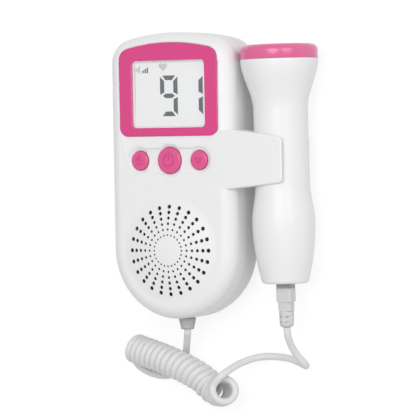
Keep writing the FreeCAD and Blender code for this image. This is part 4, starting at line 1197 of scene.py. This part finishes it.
def handle_profile():
    """Outline of the handle: up its outside from the tail to the rim, and down its bore."""
    hole, edge, belly_wall = 4.4, 1.8, 1.2 * PROBE_WALL
    belly_pole = (BELLY_AT + edge) / 2
    corner, corner_drop = SEAM_CORNER
    outside = [
        [(hole, 0.0), (TAIL - edge, 0.0)],
        rounded((TAIL - edge, edge), edge, -90, 0, count=9),
        bezier([(TAIL, edge), (BELLY, belly_pole), (BELLY, BELLY_AT)], 24)[1:],
        swell(BELLY_AT, BELLY, NECK_FROM, NECK, 18)[1:],
        [(NECK, NECK_TO)],
        swell(NECK_TO, NECK, SEAM_AT - SEAM_EASE, HEAD, 26)[1:],
        [(HEAD - corner, SEAM_AT - corner_drop), (HEAD - SEAM_EASE, SEAM_AT)],
    ]
    inside = [
        (HEAD - PROBE_WALL, SEAM_AT),
        (HEAD - PROBE_WALL, SEAM_AT - SPIGOT_DEPTH),
        (NECK - PROBE_WALL, NECK_TO),
        (NECK - PROBE_WALL, NECK_FROM),
        (BELLY - belly_wall, BELLY_AT),
        (TAIL - PROBE_WALL, PROBE_WALL),
        (hole, PROBE_WALL),
        (hole, 0.0),
    ]
    return np.concatenate([np.array(part, float) for part in outside + [inside]]) * MM


def cap_profile():
    """Outline of the cap: from the middle of its face over the edge and down its skirt,
    then round its spigot and up inside it to the middle again."""
    edge, wall, play, spigot_wall, centre = 3.2, 2.0, 0.1, 1.4, POLE / MM
    spigot = HEAD - PROBE_WALL - play
    corner, corner_rise = SEAM_CORNER
    face = np.linspace(centre, HEAD - edge, 10)
    outline = [
        np.stack([face, np.full(len(face), TOP_AT)], 1),
        rounded((HEAD - edge, TOP_AT - edge), edge, 90, 0, count=14)[1:],
        [(HEAD, SEAM_AT + SEAM_EASE), (HEAD - corner, SEAM_AT + corner_rise)],
        [(HEAD - SEAM_EASE, SEAM_AT), (spigot, SEAM_AT), (spigot, SEAM_AT - SPIGOT_DEPTH)],
        [(spigot - spigot_wall, SEAM_AT - SPIGOT_DEPTH), (spigot - spigot_wall, TOP_AT - wall)],
        [(centre, TOP_AT - wall)],
    ]
    return np.concatenate([np.array(part, float) for part in outline]) * MM


class DOPPLER_OT_probe(bpy.types.Operator):
    """Turn the probe's handle and its transducer cap"""

    bl_idname = "doppler.probe"
    bl_label = "Probe"

    def execute(self, context):
        points, faces = lathe(handle_profile(), PROBE_FOOT, PROBE_AXIS, PROBE_SPOKES)
        handle = piece("probe_handle", points, faces, "white_shell", "probe")
        close_poles(handle)
        smooth(handle)
        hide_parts("probe_body")
        points, faces = lathe(cap_profile(), PROBE_FOOT, PROBE_AXIS, PROBE_SPOKES)
        # The cap takes the lightened pink, which paints light on it.
        cap = piece("probe_cap", points, faces, "pink_trim", "probe", "cap_pink")
        close_poles(cap)
        smooth(cap)
        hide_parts("transducer_cap")
        return {"FINISHED"}


# ---------------------------------------------------------------- inner parts


class DOPPLER_OT_inner_parts(bpy.types.Operator):
    """Give every solid the finish of its slot"""

    bl_idname = "doppler.inner_parts"
    bl_label = "Inner parts"

    def execute(self, context):
        slots = {part["node"]: part["material_slot"] for part in frame["record"]["subparts"]}
        for node, made in frame["nodes"].items():
            made.data.materials.clear()
            made.data.materials.append(FINISHES[slots[node]].material)
        return {"FINISHED"}


# ---------------------------------------------------------------- stage


def aim_camera():
    """The camera looks at the face from the probe's side, a little from above."""
    azimuth, elevation, roll = (math.radians(angle) for angle in VIEW_ANGLES)
    middle = IMAGE_PIXELS / 2
    seen_at = Vector((VIEW_PIXEL[0] - middle, middle - VIEW_PIXEL[1]))
    back = Vector(
        (
            math.sin(azimuth) * math.cos(elevation),
            math.sin(elevation),
            math.cos(azimuth) * math.cos(elevation),
        )
    )
    right = Vector((math.cos(azimuth), 0, -math.sin(azimuth)))
    up = back.cross(right)
    across = right * math.cos(roll) - up * math.sin(roll)
    upward = up * math.cos(roll) + right * math.sin(roll)
    camera = bpy.data.objects.new("camera", bpy.data.cameras.new("camera"))
    camera.data.sensor_width = SENSOR
    camera.data.lens = SENSOR * FOCAL_PIXELS / IMAGE_PIXELS
    camera.data.clip_start, camera.data.clip_end = 0.05, 50.0
    place = Vector(VIEW_POINT) + back * VIEW_DISTANCE
    pixel = VIEW_DISTANCE / FOCAL_PIXELS
    place -= (across * seen_at.x + upward * seen_at.y) * pixel
    axes = Matrix((across, upward, back)).transposed().to_4x4()
    camera.matrix_world = Matrix.Translation(place) @ axes
    bpy.context.scene.collection.objects.link(camera)
    bpy.context.scene.camera = camera


def seen_directly(finish):
    """1 where the camera, a gloss or a glass looks at the surface, else 0."""
    look = finish.node("ShaderNodeLightPath").outputs
    camera, gloss, glass = (
        Level(finish, look[ray])
        for ray in ("Is Camera Ray", "Is Glossy Ray", "Is Transmission Ray")
    )
    rays = camera + gloss + glass
    return rays.maths("MINIMUM", rays, 1.0)


def lay_floor():
    """A wide plain floor: white where it is seen, greyer in the light that it returns."""
    finish = Finish("floor_white")
    seen = seen_directly(finish)
    finish.set(
        Base_Color=finish.blend(seen, (0.68, 0.68, 0.68), shade(colours().floor, 0.25)),
        Roughness=0.9,
        Specular_IOR_Level=0.0,
        Emission_Color=finish.blend(seen, (0, 0, 0), (0.81, 0.81, 0.81)),
        Emission_Strength=1.0,
    )
    mesh = bpy.data.meshes.new("floor")
    signs = [(-1, -1), (1, -1), (1, 1), (-1, 1)]
    corners = [(x * FLOOR_REACH, y * FLOOR_REACH, -FLOOR_DROP) for x, y in signs]
    mesh.from_pydata(corners, [], [(0, 1, 2, 3)])
    floor = bpy.data.objects.new("floor", mesh)
    mesh.materials.append(finish.material)
    bpy.context.scene.collection.objects.link(floor)


def light_room():
    """An even pale room, which the camera sees as white."""
    world = bpy.data.worlds.new("room")
    bpy.context.scene.world = world
    world.use_nodes = True
    room = Nodes(world.node_tree)
    look = room.node("ShaderNodeLightPath")
    light, seen = (
        room.node("ShaderNodeBackground", inputs={"Color": (1, 1, 1, 1), "Strength": strength})
        for strength in (ROOM_LIGHT, 1.0)
    )
    mixed = room.node(
        "ShaderNodeMixShader",
        inputs={0: look.outputs["Is Camera Ray"], 1: light.outputs[0], 2: seen.outputs[0]},
    )
    room.node("ShaderNodeOutputWorld", inputs={"Surface": mixed.outputs[0]})


def hang_lamp(name, place, width, power):
    """A round lamp that faces the object."""
    lamp = bpy.data.lights.new(name, "AREA")
    lamp.shape = "DISK"
    lamp.size = width
    lamp.energy = power
    made = bpy.data.objects.new(name, lamp)
    made.location = place
    away = Vector(place) - Vector(LAMP_AIM)
    made.rotation_euler = away.to_track_quat("Z", "Y").to_euler()
    bpy.context.scene.collection.objects.link(made)


class DOPPLER_OT_stage(bpy.types.Operator):
    """Set up the floor, the light and the camera"""

    bl_idname = "doppler.stage"
    bl_label = "Stage"

    def execute(self, context):
        context.scene.view_settings.view_transform = "Standard"
        aim_camera()
        lay_floor()
        light_room()
        for name, (place, width, power) in LAMPS.items():
            hang_lamp(name, place, width, power)
        return {"FINISHED"}


# ---------------------------------------------------------------- panel and main

OPERATORS = [
    DOPPLER_OT_finishes,
    DOPPLER_OT_stage,
    DOPPLER_OT_plug,
    DOPPLER_OT_cord,
    DOPPLER_OT_inner_parts,
    DOPPLER_OT_housing,
    DOPPLER_OT_grille,
    DOPPLER_OT_display,
    DOPPLER_OT_keys,
    DOPPLER_OT_probe,
]


class DOPPLER_PT_panel(bpy.types.Panel):
    """Sizes, colours and pieces of the monitor"""

    bl_label = "Fetal doppler monitor"
    bl_idname = "DOPPLER_PT_panel"
    bl_space_type = "VIEW_3D"
    bl_region_type = "UI"
    bl_category = "Doppler"

    def draw(self, context):
        for group in (sizes(), colours()):
            for name in group.__annotations__:
                self.layout.prop(group, name)
        for operator in OPERATORS:
            self.layout.operator(operator.bl_idname)


CLASSES = [DopplerSizes, DopplerColours, *OPERATORS, DOPPLER_PT_panel]


def register():
    for each in CLASSES:
        bpy.utils.register_class(each)
    bpy.types.Scene.doppler_sizes = PointerProperty(type=DopplerSizes)
    bpy.types.Scene.doppler_colours = PointerProperty(type=DopplerColours)


def unregister():
    del bpy.types.Scene.doppler_colours
    del bpy.types.Scene.doppler_sizes
    for each in reversed(CLASSES):
        bpy.utils.unregister_class(each)


def main():
    register()
    for operator in OPERATORS:
        group, name = operator.bl_idname.split(".")
        getattr(getattr(bpy.ops, group), name)()


if __name__ == "__main__":
    main()
